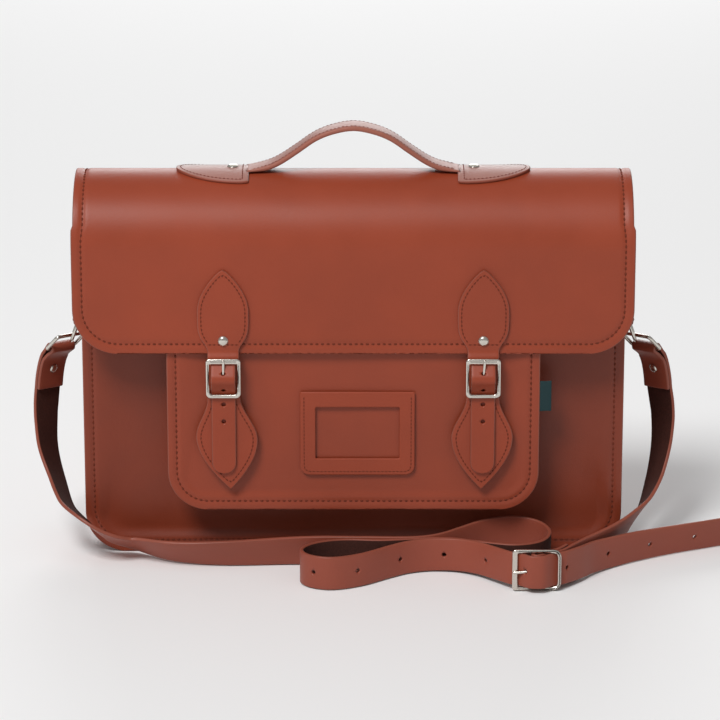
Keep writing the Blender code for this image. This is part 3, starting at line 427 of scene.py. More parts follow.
def chamfered(rows, rim):
    """The rows with a narrower, thinner one at each end, so that the ends are round too."""
    out = list(rows)
    for end, inner in ((0, 1), (-1, -2)):
        middle, across, outward, half, thick = rows[end]
        away = (middle - rows[inner][0]).normalized()
        full = (middle - away * rim, across, outward, half, thick)
        mid = (middle - away * rim * 0.3, across, outward, max(half - rim * 0.3, half * 0.5), thick - rim * 0.7)
        tip = (middle, across, outward, max(half - rim, half * 0.4), max(thick - 2 * rim, thick * 0.3))
        if end == 0:
            out = [tip, mid, full] + out[1:]
        else:
            out = out[:-1] + [full, mid, tip]
    return out


def cap(bm, loop, cuts, order):
    """Closes a sheet's end with quads between its outside and its inside."""
    top = loop[: cuts + 1]
    right = loop[cuts + 1 : cuts + 7]
    bottom = loop[cuts + 7 : 2 * cuts + 8]
    left = loop[2 * cuts + 8 :]
    faces = [[top[k], top[k + 1], bottom[cuts - k - 1], bottom[cuts - k]] for k in range(cuts)]
    faces += [[top[-1], *right, bottom[0]], [bottom[-1], *left, top[0]]]
    for verts in faces:
        face = bm.faces.new(verts[::-1] if order > 0 else verts)
        face.material_index = 1


def wire(name, points, radius, closed=True):
    """A round nickel wire along points. Open wires have domed ends."""
    count, sides = len(points), 16
    middle = sum(points, Vector()) / count
    axis = Vector()
    for i in range(count):
        axis += (points[i - 1] - middle).cross(points[i] - middle)
    axis.normalize()
    bm = bmesh.new()
    rings = []
    for i in range(count):
        before = points[i - 1] if closed or i else points[0]
        after = points[(i + 1) % count] if closed or i < count - 1 else points[-1]
        tangent = (after - before).normalized()
        side = tangent.cross(axis).normalized()
        spots = [(points[i], 1.0)]
        if not closed and i in (0, count - 1):
            dome = -1 if i == 0 else 1
            for out, share in ((0.45, 0.8), (0.8, 0.35)):
                spots.append((points[i] + tangent * radius * dome * out, share))
            spots = spots[::dome]
        for centre, share in spots:
            ring = []
            for k in range(sides):
                turn = 2 * math.pi * k / sides
                offset = side * math.cos(turn) + axis * math.sin(turn)
                ring.append(bm.verts.new(centre + offset * radius * share))
            rings.append(ring)
    skin(bm, rings + rings[:1] if closed else rings)
    if not closed:
        bm.faces.new(rings[0])
        bm.faces.new(rings[-1])
    return as_object(name, bm, [NICKEL])


def lathe(name, base, axis, profile, look=NICKEL, sides=32):
    """A turned piece from (radius, height) pairs, standing on base along axis."""
    bm = bmesh.new()
    apex = profile[-1][1] if profile[-1][0] == 0 else None
    rings = []
    for radius, height in profile if apex is None else profile[:-1]:
        turns = [2 * math.pi * k / sides for k in range(sides)]
        rings.append([bm.verts.new((radius * math.cos(t), radius * math.sin(t), height)) for t in turns])
    skin(bm, rings)
    if apex is not None:
        top = bm.verts.new((0, 0, apex))
        for k in range(sides):
            bm.faces.new((rings[-1][k - 1], rings[-1][k], top))
    bm.faces.new(rings[0])
    turn_to = axis.to_track_quat("Z", "Y").to_matrix().to_4x4()
    bmesh.ops.transform(bm, matrix=Matrix.Translation(base) @ turn_to, verts=bm.verts)
    return as_object(name, bm, [look])


def rivet(name, base, axis, radius, height):
    """A domed rivet head with a thin pressed rim, on the leather's surface at base."""
    profile = [(0.0015, -0.003), (0.0015, 0.0), (radius, 0.0), (radius * 1.02, height * 0.16),
               (radius * 0.97, height * 0.32), (radius * 0.90, height * 0.40)]
    for k in range(1, 8):
        turn = math.radians(90 * k / 7)
        side = radius * 0.88 * math.cos(turn) if k < 7 else 0
        profile.append((side, height * (0.42 + 0.58 * math.sin(turn))))
    return lathe(name, base, axis, profile)


def offset_path(path, inset):
    """A 2-D path moved to its left."""
    out = []
    for i in range(len(path)):
        a, b = path[max(i - 1, 0)], path[min(i + 1, len(path) - 1)]
        du, dv = b[0] - a[0], b[1] - a[1]
        size = math.hypot(du, dv) or 1
        out.append((path[i][0] - dv / size * inset, path[i][1] + du / size * inset))
    return out


def u_path(half_w, bottom, top, corner, steps=14):
    """Down the left side, round both lower corners and up the right side."""
    left = arc((-half_w + corner, bottom + corner), corner, 180, 270, steps)
    right = arc((half_w - corner, bottom + corner), corner, -90, 0, steps)
    return [(-half_w, top), *left, *right, (half_w, top)]


def even_path(path, pitch):
    """Points a pitch apart along a 2-D path, with the direction at each."""
    reached = [0.0]
    for a, b in zip(path, path[1:]):
        reached.append(reached[-1] + math.dist(a, b))
    count = max(1, round(reached[-1] / pitch))
    out, at = [], 0
    for k in range(count + 1):
        want = reached[-1] * k / count
        while at < len(path) - 2 and reached[at + 1] < want:
            at += 1
        a, b = path[at], path[at + 1]
        size = max(reached[at + 1] - reached[at], 1e-9)
        share = min((want - reached[at]) / size, 1)
        out.append(((a[0] + (b[0] - a[0]) * share, a[1] + (b[1] - a[1]) * share),
                    ((b[0] - a[0]) / size, (b[1] - a[1]) / size)))
    return out


def stitches(name, paths, surface, length, width, pitch):
    """Rows of stitches along 2-D paths on a surface, each on a dark line of painted shade for the crease it
    pulls in.

    surface(u, v) gives the point on the leather and its outward normal.
    """
    bm = bmesh.new()
    for path in paths:
        steps = even_path(path, pitch)
        for (a, (du, dv)), (b, _) in zip(steps, steps[1:]):
            u, v = (a[0] + b[0]) / 2, (a[1] + b[1]) / 2
            place, normal = surface(u, v)
            ahead = surface(u + du * 1e-4, v + dv * 1e-4)[0]
            one_stitch(bm, place, (ahead - place).normalized(), normal, length, width)
        crease_shade_line(bm, even_path(path, pitch / 2), surface, width * 0.62)
    return as_object(name, bm, [THREAD, CREASE_SHADE])


# (place along, thickness, lift) at each ring of a stitch, in shares of its half length and width
THREAD_SHAPE = ((-1.0, 0.25, -0.5), (-0.82, 0.75, 0.0), (-0.4, 1.0, 0.30), (0.4, 1.0, 0.30),
                (0.82, 0.75, 0.0), (1.0, 0.25, -0.5))


def one_stitch(bm, place, along, normal, length, width):
    """A plump thread that dives into the leather at both ends."""
    across = along.cross(normal)
    rings = []
    for share, fat, lift in THREAD_SHAPE:
        centre = place + along * (share * length / 2) + normal * (lift * width * 0.5)
        ring = []
        for k in range(6):
            turn = math.pi * k / 3
            spoke = across * math.cos(turn) + normal * math.sin(turn) * 0.7
            ring.append(bm.verts.new(centre + spoke * (fat * width / 2)))
        rings.append(ring)
    skin(bm, rings)
    bm.faces.new(rings[0])
    bm.faces.new(rings[-1])


def crease_shade_line(bm, steps, surface, width):
    """A low dark lens along the stitches: painted shade for the crease the thread is pulled into."""
    rails = []
    for (u, v), (du, dv) in steps:
        place, normal = surface(u, v)
        left = surface(u - dv * width / 2, v + du * width / 2)[0]
        right = surface(u + dv * width / 2, v - du * width / 2)[0]
        corners_at = (left - normal * 0.00004, place + normal * 0.00007, right - normal * 0.00004,
                      place - normal * 0.0002)
        rails.append([bm.verts.new(corner) for corner in corners_at])
    skin(bm, rails, [1] * 4)


def take_out(obj, cutter):
    """Cuts the shape of a cutter out of a piece. settle applies it."""
    cutter.hide_render = True
    boolean = obj.modifiers.new("cut", "BOOLEAN")
    boolean.operation = "DIFFERENCE"
    boolean.object = cutter


def drill(obj, middle, axis, depth):
    """Takes a round hole out of a piece."""
    profile = [(HOLE_R, 0), (HOLE_R, depth), (0, depth)]
    take_out(obj, lathe("hole", middle - axis * depth / 2, axis, profile, PUNCHED_SHADE, 16))


# ---- the shoulder strap
# The same route as in part.py: a point on the strap's middle, then the direction to its upper edge, if it
# isn't straight up.
LONG_ROUTE = (
    (-0.2322, 0.0307, 0.1030, -0.64, -0.74, 0.12),
    (-0.2325, 0.0283, 0.0900, -0.58, -0.78, 0.14),
    (-0.2310, 0.0225, 0.0700, -0.48, -0.85, 0.20),
    (-0.2240, 0.0100, 0.0500, -0.33, -0.90, 0.26),
    (-0.2152, -0.0122, 0.0370, -0.16, -0.92, 0.32),
    (-0.2006, -0.0352, 0.0308, -0.05, -0.94, 0.36),
    (-0.1830, -0.0395, 0.0205, 0.0, -0.88, 0.47),
    (-0.1640, -0.0350, 0.0125, 0.0, -0.82, 0.57),
    (-0.1340, -0.0493, 0.0115, 0.0, -0.64, 0.77),
    (-0.0954, -0.0541, 0.0119, 0.0, -0.48, 0.88),
    (-0.0375, -0.0500, 0.0126, 0.0, -0.31, 0.95),
    (0.0100, -0.0545, 0.0129, 0.0, -0.08, 1.0),
    (0.0400, -0.0562, 0.0130),
    (0.0560, -0.0540, 0.0134),
    (0.0680, -0.0490, 0.0142),
    (0.0800, -0.0410, 0.0155),
    (0.1000, -0.0300, 0.0182, 0.0, -0.04, 1.0),
    (0.1220, -0.0268, 0.0192, 0.0, -0.06, 1.0),
    (0.1385, -0.0340, 0.0175, 0.02, -0.04, 1.0),
    (0.1450, -0.0500, 0.0152, 0.02, 0.0, 1.0),
    (0.1380, -0.0670, 0.0138),
    (0.1180, -0.0735, 0.0132),
    (0.0900, -0.0645, 0.0129),
    (0.0740, -0.0587, 0.0129),
    (0.0560, -0.0577, 0.0129),
    (0.0400, -0.0602, 0.0129),
    (0.0200, -0.0625, 0.0129),
    (-0.0050, -0.0610, 0.0129),
    (-0.0220, -0.0650, 0.0129),
    (-0.0340, -0.0740, 0.0129),
    (-0.0378, -0.0855, 0.0129),
    (-0.0310, -0.0965, 0.0129),
    (-0.0150, -0.1015, 0.0129),
    (0.0060, -0.0930, 0.0129),
    (0.0280, -0.0750, 0.0130),
    (0.0420, -0.0655, 0.0131),
    (0.0580, -0.0612, 0.0133),
    (0.0760, -0.0635, 0.0139),
    (0.0910, -0.0725, 0.0147),
    (0.1040, -0.0870, 0.0156),
)
LONG_TAIL = (
    (0.1650, -0.0850, 0.0152),
    (0.1765, -0.0690, 0.0140, 0.0, -0.06, 1.0),
    (0.1900, -0.0565, 0.0133, 0.0, -0.14, 0.99),
    (0.2068, -0.0440, 0.0130, 0.0, -0.20, 0.98),
    (0.2230, -0.0343, 0.0128, 0.0, -0.26, 0.97),
    (0.2389, -0.0257, 0.0127, 0.0, -0.30, 0.95),
    (0.2580, -0.0165, 0.0126, 0.0, -0.32, 0.95),
    (0.2767, -0.0078, 0.0126, 0.0, -0.32, 0.95),
    (0.2980, 0.0010, 0.0126, 0.0, -0.32, 0.95),
)
SHORT_ROUTE = (
    (0.2330, 0.0307, 0.1030, 0.64, -0.74, 0.12),
    (0.2340, 0.0283, 0.0900, 0.58, -0.78, 0.14),
    (0.2325, 0.0225, 0.0700, 0.48, -0.85, 0.20),
    (0.2270, 0.0110, 0.0490, 0.36, -0.88, 0.28),
    (0.2190, -0.0060, 0.0350, 0.20, -0.84, 0.48),
    (0.2080, -0.0225, 0.0270, 0.10, -0.66, 0.72),
    (0.1960, -0.0385, 0.0212, 0.04, -0.42, 0.90),
    (0.1830, -0.0535, 0.0180, 0.0, -0.20, 0.98),
    (0.1700, -0.0690, 0.0168, 0.0, -0.06, 1.0),
    (0.1600, -0.0830, 0.0163),
)
FOLD_LINE = (
    (0.2244, 0.0292, 0.1417),
    (0.2271, 0.0312, 0.1345),
    (0.2291, 0.0320, 0.1245),
    (0.2302, 0.0318, 0.1142),
)
HOLES_BEFORE_BUCKLE_X = (-0.0279, 0.0034, 0.0336, 0.0656, 0.0971)
HOLES_IN_TAIL_X = (0.1555, 0.1873, 0.2210, 0.2553)


def rows_of(route):
    return [(Vector(row[:3]), Vector(row[3:]).normalized() if len(row) > 3 else Z) for row in route]


def ring_axes(side):
    """The strap ring's long direction and its downward direction, from its joint's axis."""
    joint = JOINT["strap_ring_swing_left" if side < 0 else "strap_ring_swing_right"]
    wide = Vector(joint["axis"]).normalized()
    down = Vector((side * 0.570, 0.430, -0.698))
    down = (down - wide * down.dot(wide)).normalized()
    return Vector(joint["pos_m"]), wide, down


def fold_rows(side):
    """The folded end: up its short inner layer, round the ring's bar and down its outer layer."""
    bar, wide, down = ring_axes(side)
    line = [bar] + [Vector((side * x, y, z)) for x, y, z in FOLD_LINE]
    lift = STRAP_T / 2 + GAP / 2
    inner, outer = [], []
    for i in range(1, len(line)):
        tangent = (line[min(i + 1, len(line) - 1)] - line[i - 1]).normalized()
        through = (tangent.cross(wide) * side).normalized()
        gap = lift + (0.0004 if i == 1 else 0)
        inner.append((line[i] + through * gap, wide))
        outer.append((line[i] - through * gap, wide))
        if i == 2:
            spot = (line[i].lerp(line[i + 1], 0.4) + through * (STRAP_T + GAP / 2), through)
    start = (wide.cross(down) * -side).normalized()
    turn_r = RING_R + GAP + STRAP_T / 2
    bend = []
    for k in range(9):
        turn = math.radians(180 * k / 8)
        bend.append((bar + start * (turn_r * math.cos(turn)) - down * (turn_r * math.sin(turn)), wide))
    return inner[::-1], bend, outer, spot


def by_buckle(offsets):
    """Rows of a strap that stands upright, at (x, y) from the middle of the shoulder buckle's bar."""
    return [(SHOULDER_AT + Vector((dx, dy, 0)), Z) for dx, dy in offsets]


def buckle_rows():
    """The long strap's way through the frame: behind it, over the bar and behind it again."""
    behind = RING_R + 1.5 * GAP + STRAP_T / 2
    over = 0.0013 + 3 * GAP + STRAP_T * 1.5
    return by_buckle([
        (-0.0185, behind + 0.0008), (-0.0150, behind), (-0.0100, -0.0006), (-0.0052, -over + 0.0007),
        (0.0, -over), (0.0052, -over + 0.0007), (0.0100, -0.0006), (0.0150, behind),
        (0.0200, behind + 0.0016)])


def short_buckle_rows():
    """The short strap's fold: in to the bar, round it and back behind itself."""
    r = 0.0013 + GAP + STRAP_T / 2
    behind = RING_R + 2 * GAP + STRAP_T * 1.5
    back = behind + STRAP_T + GAP
    lead_in = [(0.0195, behind + 0.0038), (0.0140, behind + 0.0006), (0.0090, behind * 0.52), (0.0050, 0.0)]
    way_back = [(0.0050, r + 0.0016), (0.0100, back), (0.0148, back + 0.0022), (0.0192, back + 0.0072),
                (0.0230, back + 0.0135)]
    return by_buckle(lead_in + arc((0, 0), r, -45, -285, 8) + way_back)


def strap_rows(route, grain_side, narrow=()):
    """Sheet rows along a strap's route. narrow gives route points where the ring squeezes it."""
    points, ups = zip(*route)
    line, where = curve_through(list(points), 0.0035)
    rows = []
    for (at, share), point, tangent in zip(where, line, directions(line)):
        up = ups[at].lerp(ups[min(at + 1, len(ups) - 1)], share)
        up = (up - tangent * up.dot(tangent)).normalized()
        half = STRAP_W / 2 * (0.93 if at in narrow else 1)
        rows.append((point, up, tangent.cross(up) * grain_side, half, STRAP_T))
    return rows


def pointed(rows, reach):
    """Narrows the last rows of a strap to a rounded English point."""
    last = rows[-1][0]
    out = []
    for middle, across, outward, half, thick in rows:
        share = min((middle - last).length / reach, 1)
        out.append((middle, across, outward, half * (0.18 + 0.82 * math.sqrt(1 - (1 - share) ** 2)), thick))
    return out


def row_at(rows, x, start, end):
    return min(rows[start:end], key=lambda row: abs(row[0].x - x))


def make_straps():
    inner, bend, outer, spot = fold_rows(-1)
    in_ring = range(len(inner) - 1, len(inner) + len(bend))
    way = outer + rows_of(LONG_ROUTE) + buckle_rows() + rows_of(LONG_TAIL)
    rows = pointed(strap_rows(inner + bend + way, 1, in_ring), reach=0.016)
    strap = sheet("shoulder_strap_long", rows, 6, STRAP, rim=0.0008)
    buckled = min(range(len(rows)), key=lambda i: (rows[i][0] - SHOULDER_AT).length)
    turned = min(range(len(rows) // 2, buckled), key=lambda i: rows[i][0].x)
    holes = [row_at(rows, x, turned, buckled) for x in (*HOLES_BEFORE_BUCKLE_X, SHOULDER_AT.x - 0.0085)]
    holes += [row_at(rows, x, buckled, len(rows)) for x in HOLES_IN_TAIL_X]
    for row in holes:
        drill(strap, row[0], row[2], 0.0034)
    settle(strap)
    put(strap, "bag", "strap_leather", "strap_long")
    declare_cord(bend[4:] + way, [fold_rivet("left", spot)])

    inner, bend, outer, spot = fold_rows(1)
    way, fold = outer + rows_of(SHORT_ROUTE), short_buckle_rows()
    rows = strap_rows(inner + bend + way + fold, -1, in_ring)
    strap = sheet("shoulder_strap_short", rows, 6, STRAP, rim=0.0008)
    put(strap, "bag", "strap_leather", "strap_short")
    fittings = [*make_shoulder_buckle(), fold_rivet("right", spot)]
    declare_cord(bend[4:] + way + fold[:8], fittings)


def fold_rivet(word, spot):
    """The rivet that holds a strap's fold: spot is its place and direction."""
    node = "strap_rivet_" + word
    return put(rivet("strap_rivet_head_" + word, *spot, radius=0.0034, height=0.0016), "bag", "nickel", node)


def declare_cord(rows, with_pieces):
    """Works out a smooth line along a strap, from the middle of its bend round the ring; nothing further is
    done with it.
    """
    points = [point for point, up in rows]
    line = curve_through(points, 0.004)[0]


# ---- flat buckles
def loop_of(half_u, low, high, radii, steps=6):
    """(u, v) round a rectangle whose corner radii start at +u +v and go anticlockwise."""
    out = []
    spots = ((1, high, 0), (-1, high, 90), (-1, low, 180), (1, low, 270))
    for (su, v, start), radius in zip(spots, radii):
        sv = 1 if v == high else -1
        out += arc((su * (half_u - radius), v - sv * radius), radius, start, start + 90, steps)
    return out


def shrink(loop, amount):
    """A closed 2-D loop moved inwards, or outwards for a negative amount."""
    return offset_path([loop[-1], *loop, loop[0]], amount)[1:-1]


def cast_frame(name, centre, u, v, outer, inner, depth, look=NICKEL):
    """A cast frame between two loops, with softened edges."""
    n = u.cross(v)
    soft = depth * 0.32
    sections = []
    for level, turn in ((-1, 0.0), (-1, 1.0), (-0.45, 1.35), (0.45, 1.35), (1, 1.0), (1, 0.0)):
        sections.append((level * depth / 2, soft * (1.35 - turn) if turn else soft * 1.35 + depth * 0.12))
    bm = bmesh.new()
    rings = []
    for level, inset in sections:
        rings.append([bm.verts.new(centre + u * a + v * b + n * level) for a, b in shrink(outer, inset)])
    for level, inset in reversed(sections):
        rings.append([bm.verts.new(centre + u * a + v * b + n * level) for a, b in shrink(inner, -inset)])
    rings.append(rings[0])
    skin(bm, rings)
    return as_object(name, bm, [look])


def make_shoulder_buckle():
    """The shoulder buckle stands on its long edge: its prong side is to the left."""
    u, v, depth = Z, -X, 0.0026
    half_h = (SHOULDER_HIGH.z - SHOULDER_LOW.z) / 2
    half_l = (SHOULDER_HIGH.x - SHOULDER_LOW.x) / 2
    outer = loop_of(half_h, -half_l, half_l, (0.0026, 0.0026, 0.0058, 0.0058))
    inner = loop_of(half_h - 0.0026, -half_l + 0.0026, half_l - 0.0040, (0.0010, 0.0010, 0.0036, 0.0036))
    buckle = cast_frame("shoulder_buckle_frame", SHOULDER_AT, u, v, outer, inner, depth)
    put(buckle, "bag", "nickel", "shoulder_buckle")
    put(centre_bar("shoulder_buckle_bar", SHOULDER_AT, Z * (half_h - 0.0014), 0.0013), "bag", "nickel")
    pin = prong("shoulder_buckle_prong", SHOULDER_AT, v, -Y, reach=half_l - 0.0010, bar_r=0.0013,
                front=depth / 2 + 0.0010, radius=0.0011, lean=Z * -0.0016)
    put(pin, "shoulder_prong", "nickel", "shoulder_prong")
    return buckle, pin


def centre_bar(name, middle, half, radius):
    return wire(name, [middle + half * k for k in (-1, -0.5, 0, 0.5, 1)], radius, closed=False)


def prong(name, centre, v, n, reach, bar_r, front, radius, lean):
    """A prong: an eye round the bar, and a pin that comes forwards through the strap to rest on the frame."""
    ring_r = bar_r + radius + 0.0002
    points = [centre + n * a + v * b for a, b in arc((0, 0), ring_r, 150, 390, 20)]
    tip = centre + v * reach + n * front + lean
    middle = centre + v * (reach * 0.55) + n * (front * 0.85 + 0.0006) + lean * 0.5
    pin = curve_through([points[-1], points[-1].lerp(middle, 0.5) + n * 0.0002, middle, tip], 0.0012)[0]
    return wire(name, [*points, *pin[1:]], radius, closed=False)


# ---- flap and back
def corner_half(height, half_w, corner):
    """Half the width of a sheet at a height above its lower edge, whose corners are round."""
    if height >= corner:
        return half_w
    return half_w - corner + math.sqrt(max(corner ** 2 - (corner - height) ** 2, 0))


def corner_heights(corner):
    """Heights that follow a round lower corner."""
    return [corner * (1 - math.cos(math.radians(90 * k / 22))) for k in range(23)]


def flap_surface(x, rise):
    """The flap's outer face and normal, at a distance up from its lower edge and over the arch."""
    straight = ARCH_Z - FLAP_LOW.z
    if rise < straight:
        return Vector((x, FLAP_LOW.y, FLAP_LOW.z + rise)), -Y
    turn = (rise - straight) / ARCH_R
    if turn < math.pi:
        normal = Vector((0, -math.cos(turn), math.sin(turn)))
        return Vector((x, ARCH_Y, ARCH_Z)) + normal * ARCH_R, normal
    return Vector((x, FLAP_HIGH.y, ARCH_Z - (turn - math.pi) * ARCH_R)), Y


def flap_half(rise):
    """Half the flap's width: it steps in above its lower part, and narrows to the back's width."""
    half = corner_half(rise, FLAP_HIGH.x, FLAP_CORNER)
    step = ease((rise - 0.0925) / 0.0015) * 0.0013
    back = ease((rise - 0.16) / 0.08) * (FLAP_HIGH.x - BACK_HIGH.x - 0.0013)
    return half - step - back


def ripple(place):
    """A slow unevenness, as stiff leather has."""
    wave = noise.noise(place * 9.0) * 0.0007 + noise.noise(place * 24.0) * 0.00018
    return Vector((0, -wave, wave * 0.4))


def seam_press(inside, seam):
    """How deep the leather is pulled in beside a row of stitches."""
    return 0.0008 * math.exp(-((inside - seam) / 0.0019) ** 2)


def cover_move(place):
    """The unevenness of the cover, and the line that its stitches press."""
    straight = ARCH_Z - FLAP_LOW.z
    if place.z > ARCH_Z:
        turn = math.atan2(place.z - ARCH_Z, ARCH_Y - place.y)
        inside, seam = flap_half(straight + turn * ARCH_R) - abs(place.x), FLAP_SEAM
        outward = Vector((0, -math.cos(turn), math.sin(turn)))
    elif place.y > ARCH_Y:
        inside, seam = edge_distance(place.x, place.z, BACK_HIGH.x, BACK_LOW.z, PANEL_CORNER), PANEL_SEAM
        outward = Y
    else:
        rise = place.z - FLAP_LOW.z
        half = FLAP_HIGH.x if rise < 0.09 else flap_half(rise)
        inside, seam = edge_distance(place.x, rise, half, 0, FLAP_CORNER), FLAP_SEAM
        outward = -Y
    return ripple(place) - outward * seam_press(inside, seam)


def make_cover():
    """The flap and the back panel are one skin, which bends along the top of the back."""
    rises = corner_heights(FLAP_CORNER)
    full = ARCH_Z - FLAP_LOW.z + math.pi * ARCH_R
    while rises[-1] < ARCH_Z - FLAP_LOW.z:
        rises.append(rises[-1] + 0.0048)
    while rises[-1] < full:
        rises.append(rises[-1] + 0.0033)
    rows = []
    for rise in rises:
        place, normal = flap_surface(0, rise)
        rows.append((place - normal * SKIN / 2, X, normal, flap_half(rise), SKIN))
    down = [ARCH_Z - (rises[-1] - full) - 0.004 - k * 0.0085 for k in range(60)]
    for z in [z for z in down if z > PANEL_CORNER + 0.003] + corner_heights(PANEL_CORNER)[::-1]:
        half = corner_half(z, BACK_HIGH.x, PANEL_CORNER)
        rows.append((Vector((0, BACK_HIGH.y - SKIN / 2, z)), X, Y, half, SKIN))
    cover = sheet("flap_and_back_skin", rows, 96, COVER, rim=0.0009, push=cover_move, edge_cuts=20)
    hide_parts("flap", "back_panel")
    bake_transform(cover)

    top = ARCH_Z - FLAP_LOW.z + math.pi * ARCH_R - 0.012
    path = u_path(FLAP_HIGH.x - FLAP_SEAM, FLAP_SEAM, 0.085, FLAP_CORNER - FLAP_SEAM)
    higher = [(flap_half(rise) - FLAP_SEAM, rise) for rise in (0.095, 0.13, 0.16, 0.18, 0.20, 0.22, top)]
    path = [(-x, rise) for x, rise in reversed(higher)] + path + higher
    sew("flap_stitches", [path], moved_by(flap_surface, cover_move), "flap")
    path = u_path(BACK_HIGH.x - PANEL_SEAM, PANEL_SEAM, ARCH_Z - 0.012, PANEL_CORNER - PANEL_SEAM)
    sew("back_stitches", [path], moved_by(flat_face(BACK_HIGH.y, Y), cover_move), "bag")


def moved_by(surface, move):
    """A surface moved as its sheet was."""
    def moved(u, v):
        place, normal = surface(u, v)
        return place + move(place), normal
    return moved


def flat_face(y, normal=-Y, x=0.0):
    """An upright plane at y, whose u runs from x."""
    def face(u, v):
        return Vector((x + u, y, v)), normal
    return face


def sew(name, paths, surface, body, thread=SEAM_THREAD):
    put(stitches(name, paths, surface, *thread), body, "strap_leather")


# ---- body
def panel_rows(low, high, corner, step):
    heights = corner_heights(corner)
    while heights[-1] < high.z - low.z - step:
        heights.append(heights[-1] + step)
    heights.append(high.z - low.z)
    return [(Vector((0, low.y + SKIN / 2, low.z + height)), X, -Y, corner_half(height, high.x, corner), SKIN)
            for height in heights]


def edge_distance(x, z, half_w, bottom, corner):
    """How far a point is inside a panel's sides and round lower corners."""
    side = half_w - abs(x)
    low = z - bottom
    if side < corner and low < corner:
        return corner - math.hypot(corner - side, corner - low)
    return min(side, low)


def front_dish(place):
    """The stiff seam stands forward, and the face inside it lies a little back."""
    inside = edge_distance(place.x, place.z, FRONT_HIGH.x, FRONT_LOW.z, PANEL_CORNER)
    slope_w = 0.012 + 0.016 * ease((place.z - FRONT_LOW.z - 0.022) / 0.06)
    dish = DISH * ease((inside - 0.0065) / slope_w) * (1 + 0.5 * noise.noise(place * 11.0))
    return Vector((0, seam_press(inside, PANEL_SEAM) + dish, 0))


def pocket_dish(place):
    inside = edge_distance(place.x, place.z, POCKET_HIGH.x, POCKET_LOW.z, POCKET_CORNER)
    slope_w = 0.009 + 0.013 * ease((place.z - POCKET_LOW.z - 0.018) / 0.05)
    dish = POCKET_DISH * ease((inside - 0.006) / slope_w) * (1 + 0.4 * noise.noise(place * 15.0))
    return Vector((0, seam_press(inside, POCKET_SEAM) + dish, 0))


def make_panel(word, node, low, high, corner, seam, step, cuts, looks, dish):
    """A sewn panel. seam is how far its stitches lie from its sides and from its base."""
    rows = panel_rows(low, high, corner, step)
    leather = sheet(word + "_skin", rows, cuts, looks, rim=0.0009, push=dish, edge_cuts=20)
    put(leather, "bag", "leather", node)
    path = u_path(high.x - seam[0], low.z + seam[1], high.z - 0.004, corner - seam[0])
    sew(word + "_stitches", [path], moved_by(flat_face(low.y), dish), "bag")


def make_body():
    make_panel("front", "front_panel", FRONT_LOW, FRONT_HIGH, PANEL_CORNER, (PANEL_SEAM, PANEL_SEAM + 0.0022),
               0.008, 96, PANEL, front_dish)
    walls = channel("gusset_skin", GUSSET_HIGH.x, 0.0, GUSSET_HIGH.z, PANEL_CORNER, GUSSET_LOW.y, GUSSET_HIGH.y,
                    flange=FLANGE, thickness=0.0020, bow=0.0016, both=True)
    put(walls, "bag", "leather", "gusset")
    make_panel("pocket", "pocket_front", POCKET_LOW, POCKET_HIGH, POCKET_CORNER, (POCKET_SEAM, POCKET_SEAM),
               0.006, 84, POCKET, pocket_dish)
    walls = channel("pocket_gusset_skin", POCKET_WALL_HIGH.x, POCKET_WALL_LOW.z, POCKET_WALL_HIGH.z,
                    POCKET_CORNER, POCKET_WALL_LOW.y, POCKET_WALL_HIGH.y + DISH,
                    flange=0.0045, thickness=0.0018, bow=0.0008, both=False)
    put(walls, "bag", "leather", "pocket_gusset")
    make_card_holder()
    make_label()


def channel(name, half_w, bottom, top, corner, front, back, flange, thickness, bow, both):
    """A gusset bent to a U: its wall bows inwards, and its flanges turn out along the front, or both seams."""
    wall = []
    for k in range(9):
        inset = flange + bow * math.sin(math.pi * k / 8)
        wall.append((inset, front + thickness + (back - front - 2 * thickness) * k / 8))
    inside = [(inset + thickness, y) for inset, y in reversed(wall)]
    if both:
        wall += [(0, back - thickness), (0, back), (flange + thickness, back)]
        kinds = [1] + [0] * 10 + [1] + [2] * 12
    else:
        wall[-1] = (flange, back)
        inside[0] = (flange + thickness, back)
        kinds = [1] + [0] * 9 + [1] + [2] * 10
    section = [(0, front), (0, front + thickness), *wall, *inside, (flange + thickness, front)]
    bm = bmesh.new()
    rings = []
    tracks = [u_path(half_w - inset, bottom + inset, top, max(corner - inset, 0.004)) for inset, y in section]
    for place in zip(*tracks):
        rings.append([bm.verts.new((x, y, z)) for (x, z), (inset, y) in zip(place, section)])
    rings = densify(bm, rings)
    skin(bm, rings, kinds)
    for ring in (rings[0], rings[-1]):
        bm.faces.new(ring).material_index = 1
    obj = as_object(name, bm, PANEL)
    rounded = obj.modifiers.new("soft_edges", "BEVEL")
    rounded.width = 0.0006
    rounded.segments = 2
    rounded.limit_method = "ANGLE"
    rounded.angle_limit = math.radians(50)
    return obj


def densify(bm, rings):
    """Extra rings on the long straight runs, so that shading stays even."""
    out = [rings[0]]
    for a, b in zip(rings, rings[1:]):
        gap = (a[0].co - b[0].co).length
        count = max(1, round(gap / 0.02))
        for k in range(1, count):
            out.append([bm.verts.new(p.co.lerp(q.co, k / count)) for p, q in zip(a, b)])
        out.append(b)
    return out


WINDOW_HALF_W, WINDOW_LOW_Z, WINDOW_HIGH_Z = 0.0309, 0.0814, 0.1208


